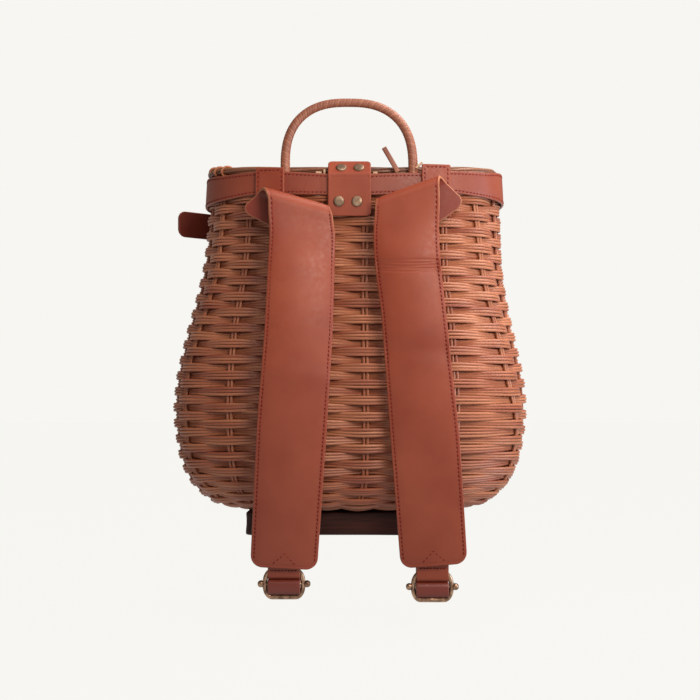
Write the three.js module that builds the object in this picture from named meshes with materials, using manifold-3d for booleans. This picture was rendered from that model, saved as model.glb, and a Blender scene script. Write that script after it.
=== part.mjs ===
// Woven foraging backpack with leather shoulder straps. Millimetres, +Z up.
// The side that is worn against the back, with the straps, faces -Y.
// Heights are measured from the underside of the woven bottom. At the end the whole pack is
// lowered so that the origin lies under the top of the carrying handle, where the pack hangs.
import * as THREE from "three";
import { mergeVertices } from "three/addons/utils/BufferGeometryUtils.js";
import Module from "manifold-3d";

const wasm = await Module();
wasm.setup();

// Driving dimensions
const GAP = 0.3;
const WELD = 0.001;
const WALL = 7;
const RIM_HEIGHT = 316;
const BACK_DEPTH_RATIO = 0.57;
const FRONT_DEPTH_RATIO = 0.67;
const BACK_EXPONENT = 3;
const FRONT_EXPONENT = 2.3;
const RIM_LEAN = 4.5;
const LEAN_FROM = 150;
const LEAN_TO = 290;

// Weave of the wall: paired stakes, and rows that pass in front of every other stake
const STAKES = 22;
const ROWS = 46;
const ROW_BULGE = 2.5;
const BULGE_TOP = 285;
const INNER_RINGS = 12;

const BAND_BOTTOM = 291.5;
const BAND_TOP = 315.5;
const LEATHER = 2.6;
const STRAP_LEATHER = 3;

const LID_HALF_WIDTH = 139;
const LID_BACK_DEPTH = 71;
const LID_BORDER = 8;
const LID_PANEL = 6;
const LID_SIDE_LIFT = 4;
const LID_CROWN = 3;
const LID_HINGE_REACH = 5.7;
const LID_HINGE_FROM = 46;
const LID_HINGE_TO = 22;

const HANDLE_HALF_WIDTH = 60.2;
const HANDLE_LEG = 6;
const HANDLE_RISE = 59;
const HANDLE_EXPONENT = 2.45;
const HANDLE_RADIUS = 3.9;
const HANDLE_FOOT_RADIUS = 4.4;
const HANDLE_TENON_RADIUS = 2;
const HANDLE_TENON = 28;
const HANDLE_DEPTH = -74.7;
const HANDLE_SIDES = 10;
const HANDLE_STEPS = 26;

const TAB_WIDTH = 40;
const TAB_CENTRE = -0.5;
const TAB_BOTTOM = 275;
const TAB_BEND_HEIGHT = 315.1;
const TAB_BEND_RADIUS = 3.75;
const TAB_SLOPE = THREE.MathUtils.degToRad(44);
const TAB_SLOPE_LENGTH = 13.6;
const TAB_CORNER = 4;

const RIVET_RADIUS = 5;
const RIVET_HEIGHT = 2.5;
const LOWER_RIVET_HEIGHT = 288.6;
const UPPER_RIVET_REACH = 6.3;

const ANCHOR_WIDTH = 27;
const ANCHOR_BOTTOM = 274;
const ANCHOR_BAND_END = 290;
const ANCHOR_SETTLED = 279;

const FOLD_RADIUS = 8;
const STRAP_BACK_DEPTH = -88.1;
const STRAP_TIP_RADIUS = 11;
const STRAP_ROOT_RADIUS = 8;
const FOLD_STEPS = 8;
const LEVEL_DROP = 45;
const HANG_STOPS = [0.03, 0.08, 0.14, 0.21, 0.3, 0.42, 0.55, 0.68, 0.8, 0.9];

const STRIP_WIDTH = 29.5;
const STRIP_LEATHER = 2.2;
const STRIP_OVERLAP = 26;
const LOWER_LEATHER = 2.5;
const LOWER_LOOP_RADIUS = 4;
const STRIP_SLACK = 1;
const STRIP_CLOSES = 1.5;
const BEHIND_STRIP = 6.6;

const WIRE_RADIUS = 1.8;
const BAR_RADIUS = 1.6;
const KNOB_RADIUS = 2.5;
const BUCKLE_HALF_WIDTH = 17.9;
const BUCKLE_HALF_HEIGHT = 11.5;
const BUCKLE_CORNER_WIDTH = 3;
const BUCKLE_CORNER_HEIGHT = 6.5;
const BUCKLE_BAR_HALF = 23.2;
const WIRE_SIDES = 8;

const FOOT_HALF_WIDTH = 98;
const FOOT_BACK = -62;
const FOOT_FRONT = 72;
const FOOT_HEIGHT = 21.5;
const FOOT_CORNER = 9;
const FOOT_ROUNDING = 1.5;

const CLOSURE_WIDTH = 26;
const CLOSURE_HEIGHT = 277.5;
const CLOSURE_LEAVES_AT = 0.75 * Math.PI;
const CLOSURE_FREE_LENGTH = 83;
const CLOSURE_RISE = 3;
const CLOSURE_TIP_RADIUS = 8;

const CANE_WIDTH = 4.6;
const CANE_THICKNESS = 2;
const CANE_DEPTH = -77;
const CANE_ROOT = { x: 44.5, aboveRim: 1.5 };
const CANE_TIP = { x: 31.6, aboveRim: 24 };

// Outer half width of the woven wall, from the edge of the flat bottom to the rim
const SECTIONS = [
  { height: 0, halfWidth: 110 },
  { height: 4, halfWidth: 131 },
  { height: 14, halfWidth: 146 },
  { height: 30, halfWidth: 158.5 },
  { height: 55, halfWidth: 166.8 },
  { height: 91, halfWidth: 171.3 },
  { height: 126, halfWidth: 168.8 },
  { height: 161, halfWidth: 161.4 },
  { height: 200, halfWidth: 152.3 },
  { height: 240, halfWidth: 145.6 },
  { height: RIM_HEIGHT, halfWidth: 141 },
];

// Lower straps: a row for each station from the foot to the buckle. The share is 0 at the foot's
// back face and 1 just behind the strip that carries the buckle.
const LOWER_HANG = [
  { height: -3, share: 0 },
  { height: -14, share: 0 },
  { height: -20, share: 0.11 },
  { height: -28, share: 0.34 },
  { height: -42, share: 0.9 },
  { height: -49, share: 1 },
];

// Each shoulder strap: the middle of its fold, the fold's slope, its root's length and how far that
// leans to the side for each millimetre, its anchor, its buckle, how far the layer that hangs in
// front swells out, and a row for each station of that layer, from the fold down to the tip
const STRAPS = [
  {
    side: "left",
    fold: { centre: -48, height: 289.8, slope: -15.4 },
    root: { length: 27, lean: -0.25 },
    anchor: { centre: -74.4, top: 319 },
    buckle: { centre: -60, height: -61.4 },
    swell: 10,
    hang: [
      { height: 262, centre: -43, width: 60, depth: -104.1 },
      { height: 165, centre: -46.6, width: 61.5, depth: -103.6 },
      { height: 84, centre: -52.3, width: 63.3, depth: -102 },
      { height: -47, centre: -59.3, width: 61, depth: -98 },
    ],
  },
  {
    side: "right",
    fold: { centre: 51.9, height: 298.6, slope: 19.8 },
    root: { length: 31, lean: 0 },
    anchor: { centre: 80, top: 324 },
    buckle: { centre: 74.8, height: -63.4 },
    swell: 8,
    hang: [
      { height: 266, centre: 50.9, width: 60, depth: -104.1 },
      { height: 196, centre: 57, width: 59, depth: -103.6 },
      { height: 73, centre: 67.7, width: 63, depth: -102 },
      { height: -46, centre: 75.8, width: 61, depth: -98 },
    ],
  },
];

// Materials, in the colours of the photograph
const paint = (color, roughness, metalness = 0) =>
  new THREE.MeshStandardMaterial({ color, roughness, metalness });
const WICKER = paint("#b4694b", 0.6);
const LEATHER_TAN = paint("#a5553f", 0.5);
const LEATHER_DARK = paint("#7a3b2c", 0.55);
const BRONZE = paint("#785f4b", 0.35, 1);
const RIVET_METAL = paint("#967d69", 0.35, 1);
const DARK_WOOD = paint("#2d1612", 0.6);

// Geometry helpers

const v3 = (x, y, z) => new THREE.Vector3(x, y, z);

// Points from 0 to 1, both ends included
const steps = (count) => Array.from({ length: count + 1 }, (_, i) => i / count);

// A closed solid through rings of points. An open list of rings is shut by a fan at each end.
function loft(rings, closed = false) {
  const count = rings[0].length;
  const points = rings.flat();
  const index = [];
  const bands = closed ? rings.length : rings.length - 1;
  for (let r = 0; r < bands; r += 1) {
    const here = r * count;
    const next = ((r + 1) % rings.length) * count;
    for (let k = 0; k < count; k += 1) {
      const k1 = (k + 1) % count;
      index.push(here + k, here + k1, next + k1, here + k, next + k1, next + k);
    }
  }
  if (!closed) {
    const last = (rings.length - 1) * count;
    const firstCentre = points.push(middle(rings[0])) - 1;
    const lastCentre = points.push(middle(rings[rings.length - 1])) - 1;
    for (let k = 0; k < count; k += 1) {
      const k1 = (k + 1) % count;
      index.push(firstCentre, k1, k, lastCentre, last + k, last + k1);
    }
  }
  return facingOut(points, index);
}

function middle(points) {
  const sum = points.reduce((total, p) => total.add(p), v3(0, 0, 0));
  return sum.divideScalar(points.length);
}

// The mesh of these triangles, turned so that its enclosed volume is positive
function facingOut(points, index) {
  let volume = 0;
  for (let i = 0; i < index.length; i += 3) {
    const [a, b, c] = [points[index[i]], points[index[i + 1]], points[index[i + 2]]];
    volume += a.dot(b.clone().cross(c));
  }
  const turned = volume < 0 ? index.slice().reverse() : index;
  const geometry = new THREE.BufferGeometry();
  geometry.setAttribute("position", new THREE.Float32BufferAttribute(
    points.flatMap((p) => [p.x, p.y, p.z]), 3));
  geometry.setIndex(turned);
  geometry.computeVertexNormals();
  return geometry;
}

// A sheet of even thickness about a grid of points on its middle surface
function sheet(grid, thickness, closed = false) {
  const last = grid.length - 1;
  const rings = grid.map((row, i) => {
    const before = closed ? grid[(i + last) % grid.length] : grid[Math.max(i - 1, 0)];
    const after = closed ? grid[(i + 1) % grid.length] : grid[Math.min(i + 1, last)];
    const offsets = row.map((point, k) => {
      const along = after[k].clone().sub(before[k]);
      const across = row[Math.min(k + 1, row.length - 1)].clone().sub(row[Math.max(k - 1, 0)]);
      return along.cross(across).normalize().multiplyScalar(thickness / 2);
    });
    const front = row.map((point, k) => point.clone().add(offsets[k]));
    const back = row.map((point, k) => point.clone().sub(offsets[k]));
    return front.concat(back.reverse());
  });
  return loft(rings, closed);
}

// A round rod along a path that lies in a plane facing Y, with a radius for each point
function rod(path, radii, sides, closed = false) {
  const last = path.length - 1;
  const depthward = v3(0, 1, 0);
  const rings = path.map((point, i) => {
    const before = closed ? path[(i + last) % path.length] : path[Math.max(i - 1, 0)];
    const after = closed ? path[(i + 1) % path.length] : path[Math.min(i + 1, last)];
    const outward = after.clone().sub(before).cross(depthward).normalize();
    return Array.from({ length: sides }, (_, k) => {
      const turn = (2 * Math.PI * k) / sides;
      return point.clone()
        .addScaledVector(outward, radii[i] * Math.cos(turn))
        .addScaledVector(depthward, radii[i] * Math.sin(turn));
    });
  });
  return loft(rings, closed);
}

// The same surface with one vertex for each place, so that it closes
function merged(geometry) {
  geometry.deleteAttribute("normal");
  geometry.deleteAttribute("uv");
  const welded = mergeVertices(geometry, WELD);
  welded.computeVertexNormals();
  return welded;
}

function toSolid(geometry) {
  const vertProperties = new Float32Array(geometry.attributes.position.array);
  const triVerts = new Uint32Array(geometry.index.array);
  return new wasm.Manifold(new wasm.Mesh({ numProp: 3, vertProperties, triVerts }));
}

function fromSolid(solid) {
  const mesh = solid.getMesh();
  const geometry = new THREE.BufferGeometry();
  geometry.setAttribute("position", new THREE.Float32BufferAttribute(mesh.vertProperties, 3));
  geometry.setIndex(Array.from(mesh.triVerts));
  geometry.computeVertexNormals();
  return geometry;
}

// Stations at a round corner, as shares of its radius from the very end
const CORNER_STOPS = [0, 0.1, 0.4, 1];

// How much narrower a half width gets at this distance from an end with round corners
function cornerCut(distance, radius) {
  if (distance >= radius) return 0;
  const reach = radius - distance;
  return radius - Math.sqrt(radius * radius - reach * reach);
}

// The value of one column of a table at this height, on straight lines between its rows
function columnAt(table, column, height) {
  const rows = [...table].sort((a, b) => a.height - b.height);
  if (height <= rows[0].height) return extended(rows[0], rows[1], column, height);
  const upper = rows.findIndex((row) => row.height >= height);
  if (upper < 0) return extended(rows[rows.length - 2], rows[rows.length - 1], column, height);
  return extended(rows[upper - 1], rows[upper], column, height);
}

function extended(low, high, column, height) {
  const t = (height - low.height) / (high.height - low.height);
  return THREE.MathUtils.lerp(low[column], high[column], t);
}

// The woven wall as a surface

// Meridian of the wall, a smooth curve through the sections
const meridian = new THREE.SplineCurve(
  SECTIONS.map((row) => new THREE.Vector2(row.halfWidth, row.height)));
const meridianTable = meridian.getSpacedPoints(300)
  .map((p) => ({ halfWidth: p.x, height: p.y }));

const halfWidthAt = (height) => columnAt(meridianTable, "halfWidth", height);

const leanAt = (height) => RIM_LEAN * THREE.MathUtils.smoothstep(height, LEAN_FROM, LEAN_TO);

const signedPower = (value, power) => Math.sign(value) * Math.abs(value) ** power;

// Superellipse of half width 1, with a flat back half (-Y) and a rounder front half
function planPoint(angle) {
  const exponent = Math.sin(angle) < 0 ? BACK_EXPONENT : FRONT_EXPONENT;
  return {
    x: signedPower(Math.cos(angle), 2 / exponent),
    y: signedPower(Math.sin(angle), 2 / exponent),
    ratio: Math.sin(angle) < 0 ? BACK_DEPTH_RATIO : FRONT_DEPTH_RATIO,
  };
}

// Point at this plan angle, at a distance out from the outer face of the wall
function wallPoint(angle, height, out, halfWidth = halfWidthAt(height)) {
  const plan = planPoint(angle);
  return v3(
    (halfWidth + out) * plan.x + leanAt(height),
    (halfWidth * plan.ratio + out) * plan.y,
    height);
}

// Depth of the back wall straight behind x
function backDepth(x, height, out) {
  const halfWidth = halfWidthAt(height);
  const share = Math.abs(x - leanAt(height)) / (halfWidth + out);
  return -(halfWidth * BACK_DEPTH_RATIO + out) * (1 - share ** BACK_EXPONENT) ** (1 / BACK_EXPONENT);
}

// Plan angles of evenly spaced columns, the first at the middle of the back
function evenAngles(count) {
  const samples = 1440;
  const start = -Math.PI / 2;
  const angles = steps(samples).map((t) => start + 2 * Math.PI * t);
  const lengths = [0];
  for (let i = 1; i <= samples; i += 1) {
    const a = wallPoint(angles[i - 1], 0, 0);
    lengths.push(lengths[i - 1] + a.distanceTo(wallPoint(angles[i], 0, 0)));
  }
  return Array.from({ length: count }, (_, column) => {
    const wanted = (lengths[samples] * column) / count;
    const i = Math.max(lengths.findIndex((length) => length >= wanted), 1);
    const t = (wanted - lengths[i - 1]) / (lengths[i] - lengths[i - 1]);
    return THREE.MathUtils.lerp(angles[i - 1], angles[i], t);
  });
}

const COLUMNS = evenAngles(2 * STAKES);

// Basket

function basketBody() {
  const rows = meridian.getSpacedPoints(ROWS);
  const outer = rows.map((row, r) => COLUMNS.map((angle, column) => {
    const onStake = column % 2 === 1;
    const inFront = onStake && ((column - 1) / 2 + r) % 2 === 0;
    const flat = r === 0 || row.y > BULGE_TOP;
    return wallPoint(angle, row.y, flat || inFront ? 0 : -ROW_BULGE, row.x);
  }));
  const inner = steps(INNER_RINGS).map((t) => {
    const height = THREE.MathUtils.lerp(RIM_HEIGHT, WALL, t);
    return COLUMNS.map((angle) => wallPoint(angle, height, -WALL));
  });
  const socket = new THREE.CylinderGeometry(
    HANDLE_TENON_RADIUS + GAP, HANDLE_TENON_RADIUS + GAP, 2 * (HANDLE_TENON + GAP), HANDLE_SIDES);
  let solid = toSolid(loft(outer.concat(inner)));
  for (const x of [-HANDLE_HALF_WIDTH, HANDLE_HALF_WIDTH]) {
    const hole = merged(socket.clone().rotateX(Math.PI / 2).translate(x, HANDLE_DEPTH, RIM_HEIGHT));
    solid = solid.subtract(toSolid(hole));
  }
  return fromSolid(solid);
}

// Flat woven lid with a round border. Its sides stand a little higher than its back and front, and
// the middle of its back edge reaches out under the hinge tab.
function basketLid() {
  const frontDepth = LID_HALF_WIDTH * FRONT_DEPTH_RATIO;
  const borderRadius = LID_BORDER / 2;
  const baseHeight = RIM_HEIGHT + GAP;
  const ring = (inset, height, share = 1) => COLUMNS.map((angle) => {
    const plan = planPoint(angle);
    const depth = plan.y < 0 ? LID_BACK_DEPTH : frontDepth;
    const x = (LID_HALF_WIDTH - inset) * plan.x * share;
    const lift = LID_SIDE_LIFT * (x / LID_HALF_WIDTH) ** 2;
    const away = THREE.MathUtils.smoothstep(Math.abs(x + RIM_LEAN), LID_HINGE_TO, LID_HINGE_FROM);
    const hinge = plan.y < 0 ? LID_HINGE_REACH * (1 - away) * share : 0;
    return v3(x + RIM_LEAN, (depth - inset) * plan.y * share - hinge, baseHeight + height + lift);
  });
  const panelEdge = LID_BORDER - 1;
  const underside = borderRadius - LID_PANEL / 2;
  const border = steps(6).map((t) => {
    const turn = THREE.MathUtils.lerp(-0.75, 0.75, t) * Math.PI;
    return ring(borderRadius - borderRadius * Math.cos(turn), borderRadius + borderRadius * Math.sin(turn));
  });
  const top = underside + LID_PANEL;
  return loft([
    ring(panelEdge, underside, 0.5),
    ring(panelEdge, underside),
    ...border,
    ring(panelEdge, top),
    ring(panelEdge, top + LID_CROWN / 2, 0.7),
    ring(panelEdge, top + LID_CROWN, 0.35),
  ]);
}

function rimBand() {
  const out = GAP + LEATHER / 2;
  const grid = COLUMNS.map((angle) =>
    [BAND_BOTTOM, BAND_TOP].map((height) => wallPoint(angle, height, out)));
  return sheet(grid, LEATHER, true);
}

function baseFoot() {
  const halfWidth = FOOT_HALF_WIDTH - FOOT_ROUNDING;
  const back = FOOT_BACK + FOOT_ROUNDING;
  const front = FOOT_FRONT - FOOT_ROUNDING;
  const outline = new THREE.Shape();
  outline.moveTo(-halfWidth + FOOT_CORNER, back);
  outline.lineTo(halfWidth - FOOT_CORNER, back);
  outline.absarc(halfWidth - FOOT_CORNER, back + FOOT_CORNER, FOOT_CORNER, -Math.PI / 2, 0);
  outline.absarc(halfWidth - FOOT_CORNER, front - FOOT_CORNER, FOOT_CORNER, 0, Math.PI / 2);
  outline.absarc(-halfWidth + FOOT_CORNER, front - FOOT_CORNER, FOOT_CORNER, Math.PI / 2, Math.PI);
  outline.absarc(-halfWidth + FOOT_CORNER, back + FOOT_CORNER, FOOT_CORNER, Math.PI, 1.5 * Math.PI);
  const block = new THREE.ExtrudeGeometry(outline, {
    depth: FOOT_HEIGHT - 2 * FOOT_ROUNDING,
    curveSegments: 5,
    bevelSize: FOOT_ROUNDING,
    bevelThickness: FOOT_ROUNDING,
    bevelSegments: 1,
  });
  return merged(block.translate(0, 0, FOOT_ROUNDING - FOOT_HEIGHT - GAP));
}

// Carrying handle: an arch that stands on the back rim and runs down into the weave in two tenons

function handle() {
  const foot = RIM_HEIGHT + GAP;
  const spring = foot + HANDLE_LEG;
  const arch = steps(HANDLE_STEPS).map((t) => {
    const turn = Math.PI * t;
    const x = -HANDLE_HALF_WIDTH * signedPower(Math.cos(turn), 2 / HANDLE_EXPONENT);
    const rise = Math.abs(Math.sin(turn)) ** (2 / HANDLE_EXPONENT);
    const radius = THREE.MathUtils.lerp(HANDLE_FOOT_RADIUS, HANDLE_RADIUS, rise);
    return { x, height: spring + HANDLE_RISE * rise, radius };
  });
  const leg = (side) => {
    const x = side * HANDLE_HALF_WIDTH;
    return [
      { x, height: RIM_HEIGHT - HANDLE_TENON, radius: HANDLE_TENON_RADIUS },
      { x, height: foot, radius: HANDLE_TENON_RADIUS },
      { x, height: foot, radius: HANDLE_FOOT_RADIUS },
    ];
  };
  const stations = [...leg(-1), ...arch, ...leg(1).reverse()];
  return rod(
    stations.map(({ x, height }) => v3(x, HANDLE_DEPTH, height)),
    stations.map(({ radius }) => radius),
    HANDLE_SIDES);
}

// Square-cut end of the binding cane, leaning over the rim beside the right foot of the handle
function caneEnd() {
  const root = v3(CANE_ROOT.x, CANE_DEPTH, RIM_HEIGHT + CANE_ROOT.aboveRim);
  const tip = v3(CANE_TIP.x, CANE_DEPTH, RIM_HEIGHT + CANE_TIP.aboveRim);
  const length = root.distanceTo(tip);
  const lean = Math.atan2(root.x - tip.x, tip.z - root.z);
  const strip = new THREE.BoxGeometry(CANE_WIDTH, CANE_THICKNESS, length);
  strip.rotateY(-lean);
  const centre = root.clone().lerp(tip, 0.5);
  return merged(strip.translate(centre.x, centre.y, centre.z));
}

// Hinge tab: up the band, over its top edge and down onto the lid's border, with four rivets

const TAB_FACE = backDepth(RIM_LEAN, BAND_BOTTOM, GAP + LEATHER + GAP);
const TAB_MIDDLE = TAB_FACE - LEATHER / 2;
const TAB_BEND_CENTRE = { y: TAB_MIDDLE + TAB_BEND_RADIUS, z: TAB_BEND_HEIGHT };

// Place on the sloping part, at this distance past the bend and this height above its middle
function tabSlopePoint(x, reach, above) {
  const bendEnd = Math.PI / 2 + TAB_SLOPE;
  return v3(
    x,
    TAB_BEND_CENTRE.y + (TAB_BEND_RADIUS + above) * Math.cos(bendEnd) + reach * Math.cos(TAB_SLOPE),
    TAB_BEND_CENTRE.z + (TAB_BEND_RADIUS + above) * Math.sin(bendEnd) + reach * Math.sin(TAB_SLOPE));
}

function hingeTab() {
  const bend = steps(4).map((t) => {
    const turn = THREE.MathUtils.lerp(Math.PI, Math.PI / 2 + TAB_SLOPE, t);
    return v3(0, TAB_BEND_CENTRE.y + TAB_BEND_RADIUS * Math.cos(turn),
      TAB_BEND_CENTRE.z + TAB_BEND_RADIUS * Math.sin(turn));
  });
  const ends = CORNER_STOPS.map((share) => share * TAB_CORNER);
  const bottom = ends.map((rise) => v3(0, TAB_MIDDLE, TAB_BOTTOM + rise));
  const top = ends.map((left) => tabSlopePoint(0, TAB_SLOPE_LENGTH - left, 0)).reverse();
  const path = [...bottom, ...bend, ...top];
  const fromEnd = path.map((point) => Math.min(
    point.distanceTo(path[0]), point.distanceTo(path[path.length - 1])));
  const grid = path.map((point, i) => {
    const half = TAB_WIDTH / 2 - cornerCut(fromEnd[i], TAB_CORNER);
    return [-half, half].map((x) => v3(TAB_CENTRE + x, point.y, point.z));
  });
  return sheet(grid, LEATHER);
}

function rivetCap() {
  const profile = [[0, 0], [1, 0], [1, 0.3], [0.9, 0.62], [0.6, 0.9], [0, 1]];
  const points = profile.map(([r, h]) => new THREE.Vector2(r * RIVET_RADIUS, h * RIVET_HEIGHT));
  return merged(new THREE.LatheGeometry(points, 12).rotateX(Math.PI / 2));
}

// Places of the caps on the tab's outer face, and how far each is tipped from facing up
const RIVET_SEAT = LEATHER / 2 + GAP;
const lowerRivet = (x) => v3(x, TAB_MIDDLE - RIVET_SEAT, LOWER_RIVET_HEIGHT);
const upperRivet = (x) => tabSlopePoint(x, UPPER_RIVET_REACH, RIVET_SEAT);
const RIVETS = [
  { name: "rivet_lower_left", place: lowerRivet(-10.2), tilt: Math.PI / 2 },
  { name: "rivet_lower_right", place: lowerRivet(6.5), tilt: Math.PI / 2 },
  { name: "rivet_upper_left", place: upperRivet(-8), tilt: TAB_SLOPE },
  { name: "rivet_upper_right", place: upperRivet(8.3), tilt: TAB_SLOPE },
];

// Shoulder straps

// A strip of leather sewn over the band. Below the band it stands off to meet the strap's root.
function strapAnchor({ anchor }) {
  const onBand = GAP + LEATHER + GAP + LEATHER / 2;
  const atStrap = STRAP_BACK_DEPTH + STRAP_LEATHER / 2 + GAP + LEATHER / 2;
  const leavingHeights = steps(3).map((t) => THREE.MathUtils.lerp(ANCHOR_BAND_END, ANCHOR_SETTLED, t));
  const heights = [anchor.top, BAND_TOP, BAND_BOTTOM, ...leavingHeights, ANCHOR_BOTTOM];
  const grid = heights.map((height) => steps(4).map((t) => {
    const x = anchor.centre + ANCHOR_WIDTH * (t - 0.5);
    const leaving = THREE.MathUtils.smoothstep(
      ANCHOR_BAND_END - height, 0, ANCHOR_BAND_END - ANCHOR_SETTLED);
    return v3(x, THREE.MathUtils.lerp(backDepth(x, height, onBand), atStrap, leaving), height);
  }));
  return sheet(grid, LEATHER);
}

// How a strap's fold lies: the line where the bend leaves the hanging layer, the directions along
// and above the fold, and how far the strap drifts along the fold as it goes over it
function foldFrame({ fold, hang }) {
  const first = hang[0];
  const last = hang[hang.length - 1];
  const foldSlope = THREE.MathUtils.degToRad(fold.slope);
  const levelSlope = -Math.atan2(first.centre - last.centre, first.height - last.height);
  const skew = foldSlope - levelSlope;
  const along = v3(Math.cos(foldSlope), 0, Math.sin(foldSlope));
  const above = v3(-Math.sin(foldSlope), 0, Math.cos(foldSlope));
  const drift = Math.tan(skew);
  const start = v3(fold.centre, STRAP_BACK_DEPTH - 2 * FOLD_RADIUS, fold.height)
    .addScaledVector(above, -FOLD_RADIUS)
    .addScaledVector(along, (-drift * FOLD_RADIUS * Math.PI) / 2);
  return { foldSlope, levelSlope, skew, along, above, drift, start };
}

// Stations of a strap: a middle point, the slope of the line across it, and half its width there

// The flat root behind the fold, from its round-cornered end up to the fold
function rootStations(frame, width, root) {
  const { foldSlope, skew, along, above, drift, start } = frame;
  const corner = CORNER_STOPS.map((share) => share * STRAP_ROOT_RADIUS);
  return [...corner, root.length / 2, root.length].map((fromEnd) => {
    const length = root.length - fromEnd;
    const turned = skew * (length / root.length);
    return {
      point: start.clone()
        .addScaledVector(along, drift * (FOLD_RADIUS * Math.PI + length) + root.lean * length)
        .addScaledVector(above, -length)
        .add(v3(0, 2 * FOLD_RADIUS, 0)),
      slope: foldSlope + turned,
      half: width / 2 / Math.cos(skew - turned) - cornerCut(fromEnd, STRAP_ROOT_RADIUS),
    };
  });
}

// Half a turn over the fold, from the root to the hanging layer
function foldStations(frame, width) {
  const { foldSlope, skew, along, above, drift, start } = frame;
  return steps(FOLD_STEPS).slice(1).map((t) => {
    const turn = Math.PI * (1 - t);
    return {
      point: start.clone()
        .addScaledVector(along, drift * FOLD_RADIUS * turn)
        .addScaledVector(above, FOLD_RADIUS * Math.sin(turn))
        .add(v3(0, FOLD_RADIUS * (1 - Math.cos(turn)), 0)),
      slope: foldSlope,
      half: width / 2 / Math.cos(skew),
    };
  });
}

// Depth of the layer that hangs in front: it swells out between the table's first and last row
function hangDepth({ hang, swell }, height) {
  const first = hang[0].height;
  const last = hang[hang.length - 1].height;
  const share = THREE.MathUtils.clamp((first - height) / (first - last), 0, 1);
  return columnAt(hang, "depth", height) - swell * Math.sin(Math.PI * share);
}

// The layer that hangs in front. The line across it levels out below the fold.
function hangStations(frame, strap) {
  const { hang } = strap;
  const { foldSlope, levelSlope, start } = frame;
  const drop = start.z - hang[hang.length - 1].height;
  const tip = CORNER_STOPS.map((share) => drop - share * STRAP_TIP_RADIUS).reverse();
  return [...HANG_STOPS.map((share) => share * drop), ...tip].map((down) => {
    const height = start.z - down;
    const settled = THREE.MathUtils.smoothstep(down, 0, LEVEL_DROP);
    const slope = THREE.MathUtils.lerp(foldSlope, levelSlope, settled);
    const hung = (column) => columnAt(hang, column, height);
    const straightBelow = start.x + down * Math.tan(levelSlope);
    return {
      point: v3(
        THREE.MathUtils.lerp(straightBelow, hung("centre"), settled),
        THREE.MathUtils.lerp(start.y, hangDepth(strap, height), settled),
        height),
      slope,
      half: hung("width") / 2 / Math.cos(slope - levelSlope)
        - cornerCut(drop - down, STRAP_TIP_RADIUS),
    };
  });
}

function shoulderStrap(strap) {
  const frame = foldFrame(strap);
  const { width } = strap.hang[0];
  const stations = [
    ...rootStations(frame, width, strap.root), ...foldStations(frame, width),
    ...hangStations(frame, strap)];
  const grid = stations.map(({ point, slope, half }) => {
    const across = v3(Math.cos(slope), 0, Math.sin(slope));
    return [-half, half].map((reach) => point.clone().addScaledVector(across, reach));
  });
  return sheet(grid, STRAP_LEATHER);
}

// A strip of even width whose middle surface follows a path in the plane of Y and Z
function strip(centre, path, width, thickness) {
  const grid = path.map((point) =>
    [-width / 2, width / 2].map((x) => v3(centre + x, point.y, point.z)));
  return sheet(grid, thickness);
}

// Arc of a path about a bar, from one angle to another; angle 0 points to +Y and 90 degrees up
const arcAbout = (y, z, radius, from, to, count) => steps(count).map((t) => {
  const turn = THREE.MathUtils.degToRad(THREE.MathUtils.lerp(from, to, t));
  return v3(0, y + radius * Math.cos(turn), z + radius * Math.sin(turn));
});

// Depth of the buckle's wire: its strip lies against the back of the strap's tip
const stripReach = WIRE_RADIUS + GAP + STRIP_LEATHER / 2;
function buckleDepth({ hang }) {
  const tip = hang[hang.length - 1];
  return tip.depth + STRAP_LEATHER / 2 + GAP + STRIP_LEATHER / 2 + stripReach + STRIP_SLACK;
}

// Strip that is sewn behind the strap's tip and carries the top wire of the buckle in its fold
function buckleStrip(strap) {
  const depth = buckleDepth(strap);
  const bar = strap.buckle.height + BUCKLE_HALF_HEIGHT;
  const tip = strap.hang[strap.hang.length - 1];
  const top = tip.height + STRIP_OVERLAP;
  const strapFace = (height) => hangDepth(strap, height) + STRAP_LEATHER / 2 + GAP + STRIP_LEATHER / 2;
  const nearTip = tip.height + 2 * WIRE_RADIUS;
  const frontPly = [top, nearTip].map((height) => v3(0, strapFace(height), height));
  const backPly = [
    v3(0, depth + stripReach - STRIP_CLOSES, bar + 2 * stripReach),
    v3(0, strapFace(top) + STRIP_LEATHER + STRIP_CLOSES, top),
  ];
  const path = [...frontPly, ...arcAbout(depth, bar, stripReach, 180, 360, 8), ...backPly];
  return strip(strap.buckle.centre, path, STRIP_WIDTH, STRIP_LEATHER);
}

// Lower strap: fixed to the back of the foot, it hangs to the buckle and loops round the centre bar
function lowerStrap(strap) {
  const depth = buckleDepth(strap);
  const bar = strap.buckle.height;
  const footFace = FOOT_BACK - GAP - LOWER_LEATHER / 2;
  const slack = LOWER_LOOP_RADIUS - LOWER_LEATHER / 2 - BAR_RADIUS - GAP;
  const hanging = LOWER_HANG.map(({ height, share }) =>
    v3(0, THREE.MathUtils.lerp(footFace, depth + BEHIND_STRIP, share), height));
  const loop = arcAbout(depth, bar - slack, LOWER_LOOP_RADIUS, 20, -260, 12);
  return strip(strap.buckle.centre, [...hanging, ...loop], STRIP_WIDTH - 1, LOWER_LEATHER);
}

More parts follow.
